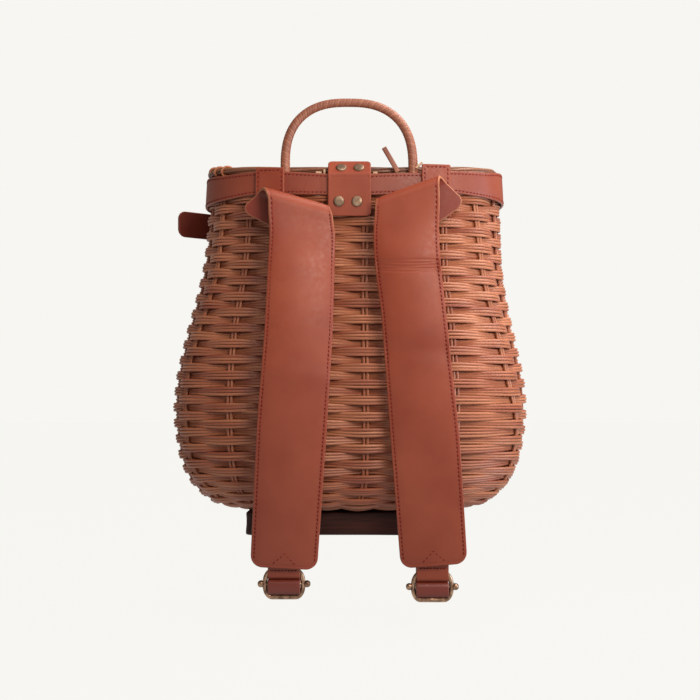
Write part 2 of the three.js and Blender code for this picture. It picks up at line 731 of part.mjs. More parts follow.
// Wire frame with cut corners, and a centre bar that ends in a knob on each side
function buckle(strap) {
  const depth = buckleDepth(strap);
  const corners = [[1, 1], [-1, 1], [-1, -1], [1, -1]];
  const bends = [0, 0.33, 0.67, 1];
  const path = corners.flatMap(([sx, sz]) => bends.map((t) => {
    const turn = sx * sz > 0 ? t : 1 - t;
    const fromSide = BUCKLE_CORNER_WIDTH * (1 - Math.cos((turn * Math.PI) / 2));
    const fromTop = BUCKLE_CORNER_HEIGHT * (1 - Math.sin((turn * Math.PI) / 2));
    return v3(sx * (BUCKLE_HALF_WIDTH - fromSide), 0, sz * (BUCKLE_HALF_HEIGHT - fromTop));
  }));
  const frame = rod(path, path.map(() => WIRE_RADIUS), WIRE_SIDES, true);
  const profile = [
    [0, -1], [0.7, -0.985], [1, -0.945], [0.7, -0.9], [BAR_RADIUS / KNOB_RADIUS, -0.885],
    [BAR_RADIUS / KNOB_RADIUS, 0.885], [0.7, 0.9], [1, 0.945], [0.7, 0.985], [0, 1],
  ].map(([r, h]) => new THREE.Vector2(r * KNOB_RADIUS, h * BUCKLE_BAR_HALF));
  const bar = merged(new THREE.LatheGeometry(profile, WIRE_SIDES).rotateZ(Math.PI / 2));
  const solid = toSolid(frame).add(toSolid(bar));
  return fromSolid(solid).translate(strap.buckle.centre, depth, strap.buckle.height);
}

// Closing strap: it hugs the front wall under the band and its free end stands off past the left side
function closureStrap() {
  const out = GAP + LEATHER / 2;
  const edge = (side) => CLOSURE_HEIGHT + (side * CLOSURE_WIDTH) / 2;
  const hug = steps(10).map((t) => {
    const angle = THREE.MathUtils.lerp(Math.PI / 2, CLOSURE_LEAVES_AT, t);
    return wallPoint(angle, CLOSURE_HEIGHT, out + GAP);
  });
  const leaving = hug[hug.length - 1];
  const heading = leaving.clone().sub(hug[hug.length - 2]).normalize();
  const tip = CORNER_STOPS.map((share) => CLOSURE_FREE_LENGTH - share * CLOSURE_TIP_RADIUS);
  const free = [CLOSURE_FREE_LENGTH / 3, (2 * CLOSURE_FREE_LENGTH) / 3, ...tip.reverse()]
    .map((reach) => ({ reach, point: leaving.clone().addScaledVector(heading, reach) }));
  const stations = [...hug.map((point) => ({ reach: 0, point })), ...free];
  const grid = stations.map(({ reach, point }) => {
    const cut = cornerCut(CLOSURE_FREE_LENGTH - reach, CLOSURE_TIP_RADIUS);
    const rise = (CLOSURE_RISE * reach) / CLOSURE_FREE_LENGTH;
    return [-1, 1].map((side) => v3(point.x, point.y, edge(side) - side * cut + rise));
  });
  return sheet(grid, LEATHER);
}

// Assembly

const pack = new THREE.Group();

function addPiece(name, geometry, material) {
  const mesh = new THREE.Mesh(geometry, material);
  mesh.name = name;
  pack.add(mesh);
  return mesh;
}

addPiece("basket_body", basketBody(), WICKER);
addPiece("basket_lid", basketLid(), WICKER);
addPiece("rim_band", rimBand(), LEATHER_TAN);
addPiece("base_foot", baseFoot(), DARK_WOOD);
addPiece("handle", handle(), WICKER);
addPiece("cane_end", caneEnd(), WICKER);
addPiece("hinge_tab", hingeTab(), LEATHER_TAN);
for (const { name, place, tilt } of RIVETS) {
  const rivet = addPiece(name, rivetCap(), RIVET_METAL);
  rivet.position.copy(place);
  rivet.rotation.x = tilt;
}
for (const strap of STRAPS) {
  addPiece(`strap_anchor_${strap.side}`, strapAnchor(strap), LEATHER_TAN);
  addPiece(`shoulder_strap_${strap.side}`, shoulderStrap(strap), LEATHER_TAN);
  addPiece(`buckle_strip_${strap.side}`, buckleStrip(strap), LEATHER_TAN);
  addPiece(`buckle_${strap.side}`, buckle(strap), BRONZE);
  addPiece(`lower_strap_${strap.side}`, lowerStrap(strap), LEATHER_TAN);
}
addPiece("closure_strap", closureStrap(), LEATHER_DARK);

// The pack hangs from the underside of the handle's top
const HANG_HEIGHT = RIM_HEIGHT + GAP + HANDLE_LEG + HANDLE_RISE - HANDLE_RADIUS;
pack.position.set(0, -HANDLE_DEPTH, -HANG_HEIGHT);

const root = new THREE.Group();
root.add(pack);
export default root;
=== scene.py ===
"""The foraging backpack as it looks: rattan strands, leather, thread and metal around the solids.

Sizes are in millimetres from the underside of the woven bottom and the middle of the basket's
depth, as in the part's source. The strap side faces -Y, and +X is to the right of its viewer.
"""
import math

import bpy
import numpy as np
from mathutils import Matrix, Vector


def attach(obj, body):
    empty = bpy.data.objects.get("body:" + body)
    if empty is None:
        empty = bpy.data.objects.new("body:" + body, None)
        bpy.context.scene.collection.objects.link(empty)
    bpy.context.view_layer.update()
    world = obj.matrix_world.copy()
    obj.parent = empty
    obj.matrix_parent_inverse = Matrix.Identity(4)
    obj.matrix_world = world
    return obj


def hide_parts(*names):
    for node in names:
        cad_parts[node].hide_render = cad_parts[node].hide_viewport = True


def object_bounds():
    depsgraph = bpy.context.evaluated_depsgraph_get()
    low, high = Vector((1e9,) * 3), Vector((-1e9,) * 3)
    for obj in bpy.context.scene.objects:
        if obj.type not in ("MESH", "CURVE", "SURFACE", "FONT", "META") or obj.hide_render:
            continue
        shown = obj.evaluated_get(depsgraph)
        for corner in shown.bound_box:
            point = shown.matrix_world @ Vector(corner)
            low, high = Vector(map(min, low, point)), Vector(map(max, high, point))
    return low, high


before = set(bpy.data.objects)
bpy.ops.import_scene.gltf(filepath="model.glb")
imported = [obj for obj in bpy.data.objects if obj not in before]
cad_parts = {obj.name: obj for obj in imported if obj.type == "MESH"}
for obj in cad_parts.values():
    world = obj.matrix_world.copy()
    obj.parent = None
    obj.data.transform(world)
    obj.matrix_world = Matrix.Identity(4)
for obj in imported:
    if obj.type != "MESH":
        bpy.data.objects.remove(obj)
CAD_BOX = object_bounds()

MM = 0.001
TO_FRAME = np.array([0.0, 74.7, -377.4])
FORWARD, UP = np.array([0.0, -1.0, 0.0]), np.array([0.0, 0.0, 1.0])
UV_MM, STRAND_UV_STEP = 100.0, 37.0
SHARP = math.radians(50)
rng = np.random.default_rng(11)

# Woven wall: its ratios are depth by half width, and its powers those of a superellipse
RIM = 316.0
BACK_RATIO, FRONT_RATIO = 0.57, 0.67
BACK_POWER, FRONT_POWER = 3.0, 2.3
RIM_LEAN, LEAN_FROM, LEAN_TO = 4.5, 150.0, 290.0
BOTTOM_CENTRE, ABOVE_RIM = 14.0, 14.0
PLAN_POINTS, BOTTOM_POINTS, SECTION_POINTS = 4400, 40, 60
# Outer half width of the wall: columns are height, half width
SECTIONS = np.array([
    (0, 110), (4, 131), (14, 146), (30, 158.5), (55, 166.8), (91, 171.3),
    (126, 168.8), (161, 161.4), (200, 152.3), (240, 145.6), (RIM, 141),
], float)

# Stakes, counted to the right from the middle of the back
STAKES, STAKE_RADIUS, STAKE_APART, STAKE_STATIONS = 22, 1.4, 1.6, 110
FOURTH_STAKE, CORNER_WIDTH, MAKING_ROOM = 3.5, 0.026, 7.0
# By half width of the wall: how far stakes are moved round it, how much closer they stand at the
# back, and how far the fourth one on the left is moved
STAKE_SHIFT = ((141.0, 158.0, 171.0), (-0.0112, -0.0079, -0.0071))
STAKE_SPREAD = ((141.0, 158.0, 171.0), (-0.09, -0.085, -0.02))
STAKE_CORNER = ((148.0, 166.0), (0.0, 0.017))
# By height: how far the fourth one on the right is moved
STAKE_RIGHT = ((75.0, 120.0, 180.0, 290.0), (0.04, 0.0225, 0.0145, 0.0))

# Rows of three strands. Columns of the wander are size, waves round the wall, share of a wave a row
ROWS, BOTTOM_ROWS = 46, 11
WALL_PARTS = (("lower", 0, 16), ("middle", 16, 31), ("upper", 31, ROWS))
STRAND_RADIUS, STRAND_SIDES, STRAND_SAMPLES = 1.42, 7, 10
BOTTOM_SIDES, BOTTOM_SAMPLES = 6, 4
SWAY, PINCH, ROUND_OUT, SUNK = 3.2, 0.14, 0.35, 0.2
WALL_MIDDLE = SWAY + STRAND_RADIUS + SUNK
WANDER = ((0.5, 3, 0.03), (0.35, 7, -0.02))
ROW_JITTER, SWAY_JITTER = 0.08, 0.06
CROWDED_HALF, CROWDED_SWAY = 90.0, 0.15
CALM_SWAY, CALM_FROM, CALM_TO = 0.6, 8.0, 60.0
FAR_THICKER, LOW_THICKER, EDGE_THICKER = 0.24, 0.3, 0.3
FAR_DEPTHS, LOW_HEIGHTS, EDGE_HEIGHTS = (0, 50), (30, 80), (4, 16)
CUT_ENDS, KNOWN_END_HEIGHTS = 22, (82.6, 44.5)
CUT_RADIUS, CUT_FACE_RADIUS = 1.1, 1.14
# Their start and fall in rows, start and reach in stakes, start and rise from the wall's face
CUT_ROW, CUT_FALL, CUT_STARTS, CUT_REACH = 0.62, 0.15, (-0.34, -0.76), 0.52
CUT_DEPTH, CUT_RISE = -3.4, 3.9
RIM_ROD, RIM_ROD_IN, RIM_POINTS = 1.9, 3.6, 600

# Leather
GAP, LEATHER, STRAP_LEATHER = 0.3, 2.6, 3.0
EDGE_ROUND, EDGE_POWER = 1.0, 2.4
EDGE_STOPS = np.array([
    0, 0.12, 0.35, 0.7, 1.1, 1.7, 2.2, 2.7, 3.3, 3.8, 4.2, 4.6, 5.2, 6.5, 8.5, 11.0])
SEAM_DEPTH, SEAM_WIDTH, SEAM_SHADE_WIDTH = 0.16, 0.7, 1.1
PAD_FROM, PAD_TO, RELIEF_FULL = 2.0, 10.0, 3.0
# Value on the back of leather sheets: it mixes the back towards the seam colour as painted shade
BACK_PAINTED_SHADE = 3.0
SLOPE_STEP = 0.4
STITCH_PITCH, STITCH_LENGTH, STITCH_WIDTH, STITCH_HEIGHT = 3.7, 2.6, 1.2, 0.65
STITCH_SLANT, STITCH_SIDES, STITCH_SUNK = 0.2, 6, 0.25
STITCH_STOPS = np.array([0.0, 0.08, 0.3, 0.7, 0.92, 1.0])

# Rim band: columns are share of the half width (left -1, right 1), bottom edge, top edge
BAND = np.array([
    (-1.0, 289.9, 317.6), (-0.87, 292.2, 316.2), (-0.67, 296.0, 317.6), (-0.46, 295.6, 317.3),
    (-0.177, 294.9, 314.9), (-0.13, 294.8, 311.8), (0.06, 294.8, 311.8), (0.107, 294.8, 314.9),
    (0.44, 296.3, 316.2), (0.64, 297.8, 318.4), (0.87, 294.9, 319.4), (1.0, 292.6, 322.5),
])
BAND_SEAM, BAND_OFF_FULL = 2.6, 0.6

# Shoulder straps: columns of fold are centre, height, slope; of hang, from the fold down to the
# tip, height, centre, width, depth; of creases height, width, depth (a swelling below 0), sag
STRAPS = {
    "left": {
        "fold": (-50.6, 290.9, -15.4), "anchor": (-74.4, 321.0), "buckle": (-60.4, -63.2),
        "hang": np.array([
            (262, -43, 60, -104.1), (165, -46.6, 61.5, -103.6), (84, -52.3, 63.3, -102),
            (-48.2, -60.4, 61, -98)], float),
        "drift": (-0.7, -0.4), "root": 23.0, "swell": 12.0, "twist": 8.0,
        "creases": ((128, 9.0, -0.5, 0.0), (205, 30.0, -0.5, 0.0)), "creased": None,
    },
    "right": {
        "fold": (54.2, 299.4, 19.8), "anchor": (80.0, 324.0), "buckle": (75.4, -65.8),
        "hang": np.array([
            (264, 51.2, 60, -104.1), (243, 51.5, 59.8, -104), (216, 53.9, 59.3, -103.9),
            (188, 57.5, 58.4, -103.6), (130, 62.5, 60.0, -103), (73, 67.8, 62.6, -102),
            (-46, 76.6, 61, -98)], float),
        "drift": (0.43, 0.34), "root": 30.5, "swell": 8.0, "twist": -4.0,
        "creases": (
            (232.5, 0.95, 0.34, 0.3), (230.1, 0.95, 0.46, 0.7), (227.5, 0.95, 0.52, 0.9),
            (224.9, 0.95, 0.44, 0.6), (222.2, 0.95, 0.32, 0.3), (226, 8.0, 0.6, 0.0),
            (150, 10.0, 0.7, 0.0)),
        "creased": (238.5, 216.5),
    },
}
FOLD_RADIUS, STRAP_BACK = 8.0, -88.1
ROOT_ROWS, FOLD_ROWS, HANG_ROWS, EVEN_ROWS = 60, 80, 660, 41
TIP_CORNER, ROOT_CORNER, ROOT_WIDER, LEVEL_DROP = 11.0, 13.0, 3.0, 26.0
STRAP_SEAM, STRAP_BOW, STRAP_PAD, STRAP_STITCH_SUNK = 3.1, 4.4, 0.25, 0.12
CREASE_LEAN, CREASE_HALF, CREASE_WAVE, CREASE_WAVE_MM, CREASE_ROW = 0.085, 20.0, 0.3, 7.0, 0.45
TIP_STITCH_HALF, TIP_STITCH_LOW, TIP_STITCH_HIGH = 10.5, 4.0, 14.0
# Where below the fold the bow comes, where bow, twist and pale edges go, and the share that goes
BOW_COMES, BOW_GOES, TWIST_GOES, PALE_GOES = (5, 60), (90, 290, 0.65), (50, 230, 0.7), (4, 30, 0.8)

ANCHOR_WIDTH, ANCHOR_BOTTOM, ANCHOR_SEAM, ANCHOR_SEWN = 27.0, 274.0, 2.7, 36.0
ANCHOR_BAND_END, ANCHOR_SETTLED, ANCHOR_CORNERS = 290.0, 279.0, (1.5, 1.0)
STRIP_WIDTH, STRIP_LEATHER, STRIP_OVERLAP, STRIP_SEAM, STRIP_SEWN = 29.5, 2.2, 26.0, 2.6, 12.0
STRIP_STITCH, STRIP_STITCH_OUT = (3.0, 2.2), 0.05
LOWER_LEATHER, LOWER_LOOP, LOWER_BEHIND = 2.5, 4.0, 6.6
# Lower strap: columns are height, share of the way from the foot's back face to the buckle
LOWER_HANG = np.array([(-3, 0), (-14, 0), (-20, 0.11), (-28, 0.34), (-42, 0.9), (-49, 1)], float)
WIRE, BAR, KNOB, KNOB_NECK = 2.25, 1.7, 3.3, 0.2
BUCKLE_HALF_WIDTH, BUCKLE_HALF_HEIGHT, BUCKLE_BAR, BUCKLE_BACK = 17.4, 12.0, 24.4, 1.0
BUCKLE_CORNER, CORNER_POINTS = (6.5, 10.5), 9
STRIP_HANGS, LOOP_HANGS, LOOP_HALF, STRIP_SPREAD = 3.0, 4.2, 14.9, 1.5
STRIP_REACH = WIRE + GAP + STRIP_LEATHER / 2

# Tab over the back edge of the lid, and its rivets: columns are name, end of the tab, x
TAB_WIDTH, TAB_CENTRE, TAB_BOTTOM, TAB_CORNER, TAB_HEIGHT = 40.0, -0.5, 275.0, 4.0, 291.5
TAB_BEND_HEIGHT, TAB_BEND, TAB_SLOPE, TAB_SLOPE_LENGTH = 312.4, 3.75, math.radians(44), 17.6
TAB_CREASE, TAB_CREASE_WIDTH, TAB_CREASE_DOWN, TAB_DENT, TAB_DENT_SQUARE = 0.25, 1.2, 1.0, 0.2, 42.0
RIVET_RADIUS, RIVET_HEIGHT, RIVET_UP, RIVET_DOWN, RIVET_SUNK = 5.0, 1.8, 13.6, 6.4, 0.1
RIVETS = (("lower_left", "low", -10.2), ("lower_right", "low", 6.5),
          ("upper_left", "high", -8.0), ("upper_right", "high", 8.3))
RIVET_PROFILE = np.array([
    (0.5, 0), (0.92, 0), (1.0, 0.1), (1.0, 0.42), (0.97, 0.64), (0.9, 0.82), (0.8, 0.93),
    (0.6, 0.985), (0.3, 1.0)]) * (RIVET_RADIUS, RIVET_HEIGHT)

# Handle, and the ends of cane about it: the flat one, and loose ones from a foot to a tip
HANDLE_HALF, HANDLE_LEG, HANDLE_RISE, HANDLE_POWER, HANDLE_SHIFT = 59.6, 6.0, 60.2, 2.5, -0.8
HANDLE_RADIUS, HANDLE_FOOT, HANDLE_DEPTH, HANDLE_IN = 3.9, 4.4, -74.7, 4.0
HANDLE_POINTS, LEG_POINTS, HANDLE_SIDES, HANDLE_SWAY, HANDLE_SWAY_POINTS = 640, 8, 24, 0.25, 23.0
CANES, CANE_PITCH, CANE_RIDGE, CANE_OUT = 4, 2.7, 0.34, 0.1
CANE_END_X, CANE_END_Y, CANE_END_Z, CANE_END_BOW = (44.5, -12.9), -77.0, (RIM + 1.5, 22.5), 0.6
CANE_END_POINTS, CANE_END_SIDES, CANE_END_HALVES = 14, 12, (1.1, 2.3)
CANE_TIPS = np.array([
    ((-24.0, -76.2, 315.6), (-23.7, -76.0, 320.0)), ((-31.8, -76.2, 316.8), (-26.4, -76.6, 316.5)),
    ((21.6, -76.6, 316.4), (25.6, -76.2, 316.7)), ((61.5, -79.0, 320.5), (67.2, -78.2, 326.0))])

# Lid
LID_HALF, LID_BACK, LID_FRONT, LID_BORDER, LID_LEAN = 141.2, 71.0, 93.1, 3.3, 2.3
LID_LIFT, LID_CROWN, LID_CROWN_POWER = 4.0, 2.6, 0.8
LID_HINGE, LID_HINGE_TO, LID_HINGE_FROM = 3.3, 22.0, 46.0
LID_ROWS, LID_PITCH, LID_STRAND, LID_SWAY, LID_SPACING = (-9, 13), 7.2, 1.2, 1.7, 36.0
LID_ROD, LID_ROD_APART, LID_ROD_IN, LID_SHORTEST = 1.1, 1.3, 12.0, 30.0
LID_ROWS_MIDDLE, LID_ROWS_REACH = 11.0, 76.0
LID_WANDER, LID_WANDER_MM = 0.25, 23.0
BORDER_STRAND, BORDER_TURNS, BORDER_POINTS = 1.4, 3, 560
BORDER_SHADES = np.array([0.3, 0.9, 0.5, 1.1, 0.6])
BINDING_RADIUS, BINDING_FROM, BINDING_TO, BINDING_TURNS, BINDING_OUT = 1.2, -131.0, -113.0, 2.6, 0.5

# Foot: columns of the profile are inset, height
FOOT_HALF, FOOT_BACK, FOOT_FRONT, FOOT_HEIGHT, FOOT_CORNER = 98.0, -62.0, 72.0, 21.5, 9.0
# Columns of its unevenness are size, and millimetres round and up for a radian of the wave
FOOT_UNEVEN, FOOT_WORN, FOOT_WORN_MM = ((0.25, 19, 5), (0.18, 7.3, -3)), 0.35, 26
FOOT_PROFILE = (
    (40, 0), (4, 0), (1.6, 0), (0.5, 0.45), (0, 1.6), (0, 5), (0, 10), (0, 15), (0, 19.6),
    (0.5, 20.9), (1.6, FOOT_HEIGHT), (4, FOOT_HEIGHT), (40, FOOT_HEIGHT))

# Closing strap
CLOSURE_WIDTH, CLOSURE_HEIGHT, CLOSURE_FREE, CLOSURE_CORNER = 26.0, 277.5, 83.0, 8.0
CLOSURE_RISE, CLOSURE_SEAM, CLOSURE_SEWN_FROM, CLOSURE_SEWN_TO = 3.0, 3.0, 4.0, 9.0

# Room: columns of the lamps are name, place, aim, size, power, colour, share of glint; in metres
# and watts
PALE, ROOM_TONE, FLOOR_DROP, FLOOR_HALF = "#f7f6f2", "#938c84", 0.03, 9
LAMPS = (
    ("key", (0.46, 0.05, 0.58), (0.0, 0.0, -0.2), 0.5, 8.4, "#fff8f0", 1.0),
    ("side", (0.87, -0.23, -0.2), (0.0, 0.0, -0.2), 0.5, 5.3, "#e8f5ff", 1.0),
    ("front", (0.3, -0.61, 0.09), (0.0, -0.03, -0.12), 0.3, 3.5, "#fff4e6", 0.9),
    ("overhead", (-0.04, -0.36, 0.45), (0.0, -0.03, -0.2), 0.4, 1.25, "#fff8f0", 0.2),
)
VIEW_DISTANCE, VIEW_HEIGHT, VIEW_WIDTH, VIEW_RISE, SENSOR = 1460.0, 114.2, 686.0, 39.2, 36.0


# Surfaces as arrays

class Surface:
    """Points in millimetres, blocks of faces with a UV place for each corner, values at points."""

    def __init__(self, points, blocks, values):
        self.points, self.blocks, self.values = points, blocks, values


def joined(surfaces):
    """One surface made of several, their corner numbers shifted in turn."""
    starts = np.cumsum([0] + [len(each.points) for each in surfaces])
    blocks = [(faces + start, uv)
              for each, start in zip(surfaces, starts) for faces, uv in each.blocks]
    tint = np.concatenate([each.values["tint"] for each in surfaces])
    return Surface(np.concatenate([each.points for each in surfaces]), blocks, {"tint": tint})


def wrapped_grid(rows, columns, wrap_rows, wrap_columns):
    """Corner numbers of the quads of a grid of points, and of the same quads on a grid with one
    more row or column where it wraps, which is the grid of the UV map."""
    i, j = np.meshgrid(np.arange(rows - 1 + wrap_rows), np.arange(columns - 1 + wrap_columns),
                       indexing="ij")
    corners = [(i, j), (i, j + 1), (i + 1, j + 1), (i + 1, j)]
    quads = [(a % rows) * columns + b % columns for a, b in corners]
    places = [a * (columns + wrap_columns) + b for a, b in corners]
    return np.stack([q.ravel() for q in quads], 1), np.stack([p.ravel() for p in places], 1)


def points_at(*coordinates):
    """Points from their coordinates, each an array or a number."""
    return np.stack(np.broadcast_arrays(*coordinates), -1)


def unit(vectors):
    """Vectors of length one."""
    return vectors / np.linalg.norm(vectors, axis=-1, keepdims=True)


def smoothstep(x, low, high):
    """0 up to low, 1 from high on, and between them a cubic that starts and ends level."""
    t = np.clip((x - low) / (high - low), 0, 1)
    return t * t * (3 - 2 * t)


def running_length(points):
    """Distance along a row of points from the first one to each."""
    steps = np.linalg.norm(np.diff(points, axis=-2), axis=-1)
    return np.concatenate([np.zeros(steps.shape[:-1] + (1,)), np.cumsum(steps, -1)], -1)


def on_line(line, far, at):
    """Points at distances along a line whose own points are at the distances far."""
    return np.stack([np.interp(at, far, column) for column in line.T], -1)


def drawn_out(values, power):
    """Cosines or sines drawn out to a superellipse: sizes to the power of two over its own."""
    return np.sign(values) * np.abs(values) ** (2 / power)


def superellipse(share, power):
    """Share of its depth that a superellipse has at a share of its half width."""
    return np.maximum(1 - share ** power, 0) ** (1 / power)


def full_turn(count):
    """Angles an even way round, as a column."""
    return np.linspace(0, 2 * math.pi, count, endpoint=False)[:, None]


def fan_volume(points, faces):
    """Six times the volume between the origin and these faces, each cut into a fan."""
    corners = points[faces]
    total = 0.0
    for k in range(1, faces.shape[1] - 1):
        total += (corners[:, 0] * np.cross(corners[:, k], corners[:, k + 1])).sum()
    return total


def facing(surface, u, v, du=SLOPE_STEP, dv=SLOPE_STEP):
    """Direction square to a surface at (u, v): its slope along u crossed with its slope along v."""
    along = surface(u + du, v) - surface(u - du, v)
    across = surface(u, v + dv) - surface(u, v - dv)
    return unit(np.cross(along, across))


def add_piece(name, surface, material, slot=None, stands_for=()):
    """Puts a surface into a mesh in the pack's frame, facing out, that rides on the pack."""
    volume = sum(fan_volume(surface.points, faces) for faces, uv in surface.blocks)
    turn = -1 if volume < 0 else 1
    faces = [row for block, uv in surface.blocks for row in block[:, ::turn].tolist()]
    places = np.concatenate([uv[:, ::turn].reshape(-1, 2) for block, uv in surface.blocks])
    mesh = bpy.data.meshes.new(name)
    mesh.from_pydata(((surface.points + TO_FRAME) * MM).tolist(), [], faces)
    cut = mesh.uv_layers.new(name="cut")
    cut.data.foreach_set("uv", (places / UV_MM).astype(np.float32).ravel())
    for key, value in surface.values.items():
        attribute = mesh.attributes.new(key, "FLOAT", "POINT")
        attribute.data.foreach_set("value", value.astype(np.float32).ravel())
    mesh.shade_smooth()
    mesh.set_sharp_from_angle(angle=SHARP)
    mesh.materials.append(material)
    piece = bpy.data.objects.new(name, mesh)
    bpy.context.scene.collection.objects.link(piece)
    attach(piece, "root")
    if stands_for:
        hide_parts(*stands_for)
    return piece


def rolled(points, closed, uv, tint):
    """Tubes from rings of points (tubes x rings x sides x 3), with flat ends unless closed."""
    count, length, sides = points.shape[:3]
    quads, places = wrapped_grid(length, sides, closed, True)
    first = (np.arange(count) * length * sides)[:, None, None]
    blocks = [((quads + first).reshape(-1, 4), uv[:, places].reshape(-1, 4, 2))]
    if not closed:
        ring = np.arange(sides) + first[:, 0]
        ends = np.concatenate([ring[:, ::-1], ring + (length - 1) * sides])
        blocks.append((ends, np.zeros(ends.shape + (2,))))
    tint = np.broadcast_to(tint, (count, length, sides))
    return Surface(points.reshape(-1, 3), blocks, {"tint": tint.reshape(-1)})


def tubes(paths, outward, radius, tint, sides=STRAND_SIDES, closed=False):
    """Strands: a ring of points about each point of the paths (strands x points x 3), at the
    radius, in the plane of the outward direction and the one square to it and to the path."""
    ahead = np.gradient(paths, axis=1)
    if closed:
        ahead = np.roll(paths, -1, 1) - np.roll(paths, 1, 1)
    ahead = unit(ahead)
    side = unit(np.cross(ahead, outward))
    up = np.cross(side, ahead)
    turn = full_turn(sides)
    ring = up[:, :, None] * np.cos(turn) + side[:, :, None] * np.sin(turn)
    radius = np.broadcast_to(radius, paths.shape[:2] + (sides,))[..., None]
    line = np.concatenate([paths, paths[:, :1]], 1) if closed else paths
    along = running_length(line) + STRAND_UV_STEP * np.arange(len(paths))[:, None]
    around = np.linspace(0, 2 * math.pi, sides + 1) * float(radius.mean())
    uv = points_at(along[:, :, None], around).reshape(len(paths), -1, 2)
    return rolled(paths[:, :, None] + radius * ring, closed, uv, tint)


def loft(rings):
    """A closed surface through rings of points, shut by a fan at each end."""
    count, sides = rings.shape[:2]
    quads, places = wrapped_grid(count, sides, False, True)
    along = running_length(rings[:, 0])
    around = np.linspace(0, 1, sides + 1) * running_length(rings.mean(0))[-1]
    uv = points_at(along[:, None], around).reshape(-1, 2)
    ring = np.arange(sides)
    after = (ring + 1) % sides
    first, last = count * sides, count * sides + 1
    end = (count - 1) * sides
    fans = np.concatenate([
        np.stack([np.full(sides, first), after, ring], 1),
        np.stack([np.full(sides, last), end + ring, end + after], 1)])
    points = np.concatenate([rings.reshape(-1, 3), [rings[0].mean(0), rings[-1].mean(0)]])
    blocks = [(quads, uv[places]), (fans[:, ::-1], np.zeros((2 * sides, 3, 2)))]
    return Surface(points, blocks, {"tint": np.full(len(points), 0.5)})


def lathe(profile, place, axis, sides):
    """A turned piece: the profile's rows of radius and height, carried round an axis at a place."""
    axis = unit(np.asarray(axis, float))
    side = unit(np.cross(axis, (0.3, 0.9, 0.2)))
    turn = full_turn(sides)
    ring = side * np.cos(turn) + np.cross(axis, side) * np.sin(turn)
    radius, height = np.asarray(profile, float).T[..., None, None]
    return loft(np.asarray(place) + radius * ring + height * axis)


# Leather sheets and their sewing

def even(half):
    """A half width that is the same all along."""
    return lambda s: np.full(np.shape(s), half)


def corner_cut(distance, radius):
    """How much narrower a half width gets at this distance from an end with round corners."""
    reach = np.clip(radius - distance, 0, radius)
    return radius - np.sqrt(radius * radius - reach * reach)


def inside(along, reach, corner):
    """Distance in from an outline with round corners, from those to its end and to its side."""
    x, y = np.maximum(corner - reach, 0), np.maximum(corner - along, 0)
    return np.where((x > 0) & (y > 0), corner - np.hypot(x, y), np.minimum(along, reach))


def sheet_grid(length, half, corners, spacing, closed, fine):
    """Places (s, w) of a sheet's grid, closest at its outline and with more rows at fine, their
    distance in from the outline, and which of them are on it."""
    s = np.linspace(0, length, round(length / spacing), endpoint=False)
    if not closed:
        stops = EDGE_STOPS * min(1.0, 0.45 * length / EDGE_STOPS[-1])
        count = max(3, round(length / spacing))
        between = np.linspace(stops[-1], length - stops[-1], count)[1:-1]
        s = np.unique(np.concatenate([stops, between, length - stops[::-1], fine]))
    full = half(s)
    cut = full.copy()
    if not closed:
        cut -= corner_cut(s, corners[0]) + corner_cut(length - s, corners[1])
    stops = EDGE_STOPS * np.minimum(1.0, 0.9 * cut / EDGE_STOPS[-1])[:, None]
    flank = cut[:, None] - stops
    centre = flank[:, -1:] * np.linspace(-1, 1, max(4, round(full.max() / 2)))[1:-1]
    w = np.concatenate([-flank, centre, flank[:, ::-1]], 1)
    s = np.broadcast_to(s[:, None], w.shape)
    depth = full[:, None] - np.abs(w)
    outline = np.zeros(w.shape, bool)
    outline[:, [0, -1]] = True
    if not closed:
        depth = np.minimum(inside(s, depth, corners[0]), inside(length - s, depth, corners[1]))
        outline[[0, -1]] = True
    return s, w, np.where(outline, 0, np.maximum(depth, 0)), outline


def leather(shape, length, half, thickness, corners=(0.0, 0.0), seam=None, pad=0.0, spacing=3.0,
            closed=False, relief=None, fine=(), pale=0.35):
    """A sheet with soft cut edges about its middle surface shape(s, w), s along it and w across.
    Half its thickness at a place is a rounded step of its distance from the outline. The front
    rises towards the middle by the pad, sinks along the seam and takes the relief. Its cut edges
    are as pale as the share, a number or a function of s."""
    s, w, depth, outline = sheet_grid(length, half, corners, spacing, closed, fine)
    sharp = 1 - np.minimum(depth / EDGE_ROUND, 1)
    body = thickness / 2 * (1 - sharp ** EDGE_POWER) ** (1 / EDGE_POWER)
    front = body + pad * smoothstep(depth, PAD_FROM, PAD_TO)
    line = np.zeros(w.shape)
    if seam:
        front = front - SEAM_DEPTH * np.exp(-((depth - seam) / SEAM_WIDTH) ** 2)
        line = np.exp(-((depth - seam) / SEAM_SHADE_WIDTH) ** 2)
    if relief:
        front = front + relief(s, w) * smoothstep(depth, 0.0, RELIEF_FULL)
    middle, out = shape(s, w), facing(shape, s, w)
    points = np.concatenate([middle + out * front[..., None], middle - out * body[..., None]])
    number = np.arange(w.size).reshape(w.shape)
    behind = np.where(outline, number, number + w.size).ravel()
    quads, places = wrapped_grid(*w.shape, closed, False)
    faces = np.concatenate([quads[:, ::-1], behind[quads]])
    used, numbers = np.unique(faces, return_inverse=True)
    uv = np.stack([s, w], -1)
    if closed:
        uv = np.concatenate([uv, uv[:1] + (length, 0)])
    uv = uv.reshape(-1, 2)[places]
    shown = pale(s) if callable(pale) else pale
    edge = np.exp(-(depth / (0.6 + 0.5 * shown)) ** 2) * shown
    # The seam value also marks the back of the sheet for painted shade
    values = {"edge": np.tile(edge.ravel(), 2)[used],
              "seam": np.concatenate([line.ravel(), np.full(w.size, BACK_PAINTED_SHADE)])[used]}
    blocks = [(numbers.reshape(-1, 4), np.concatenate([uv[:, ::-1], uv]))]
    return Surface(points.reshape(-1, 3)[used], blocks, values)


def leather_piece(name, hide, *form, slot="leather", **facts):
    """Adds a leather sheet in place of the solid that has its name without the word leather."""
    return add_piece(name, leather(*form, **facts), hide, slot, [name.replace("_leather", "")])


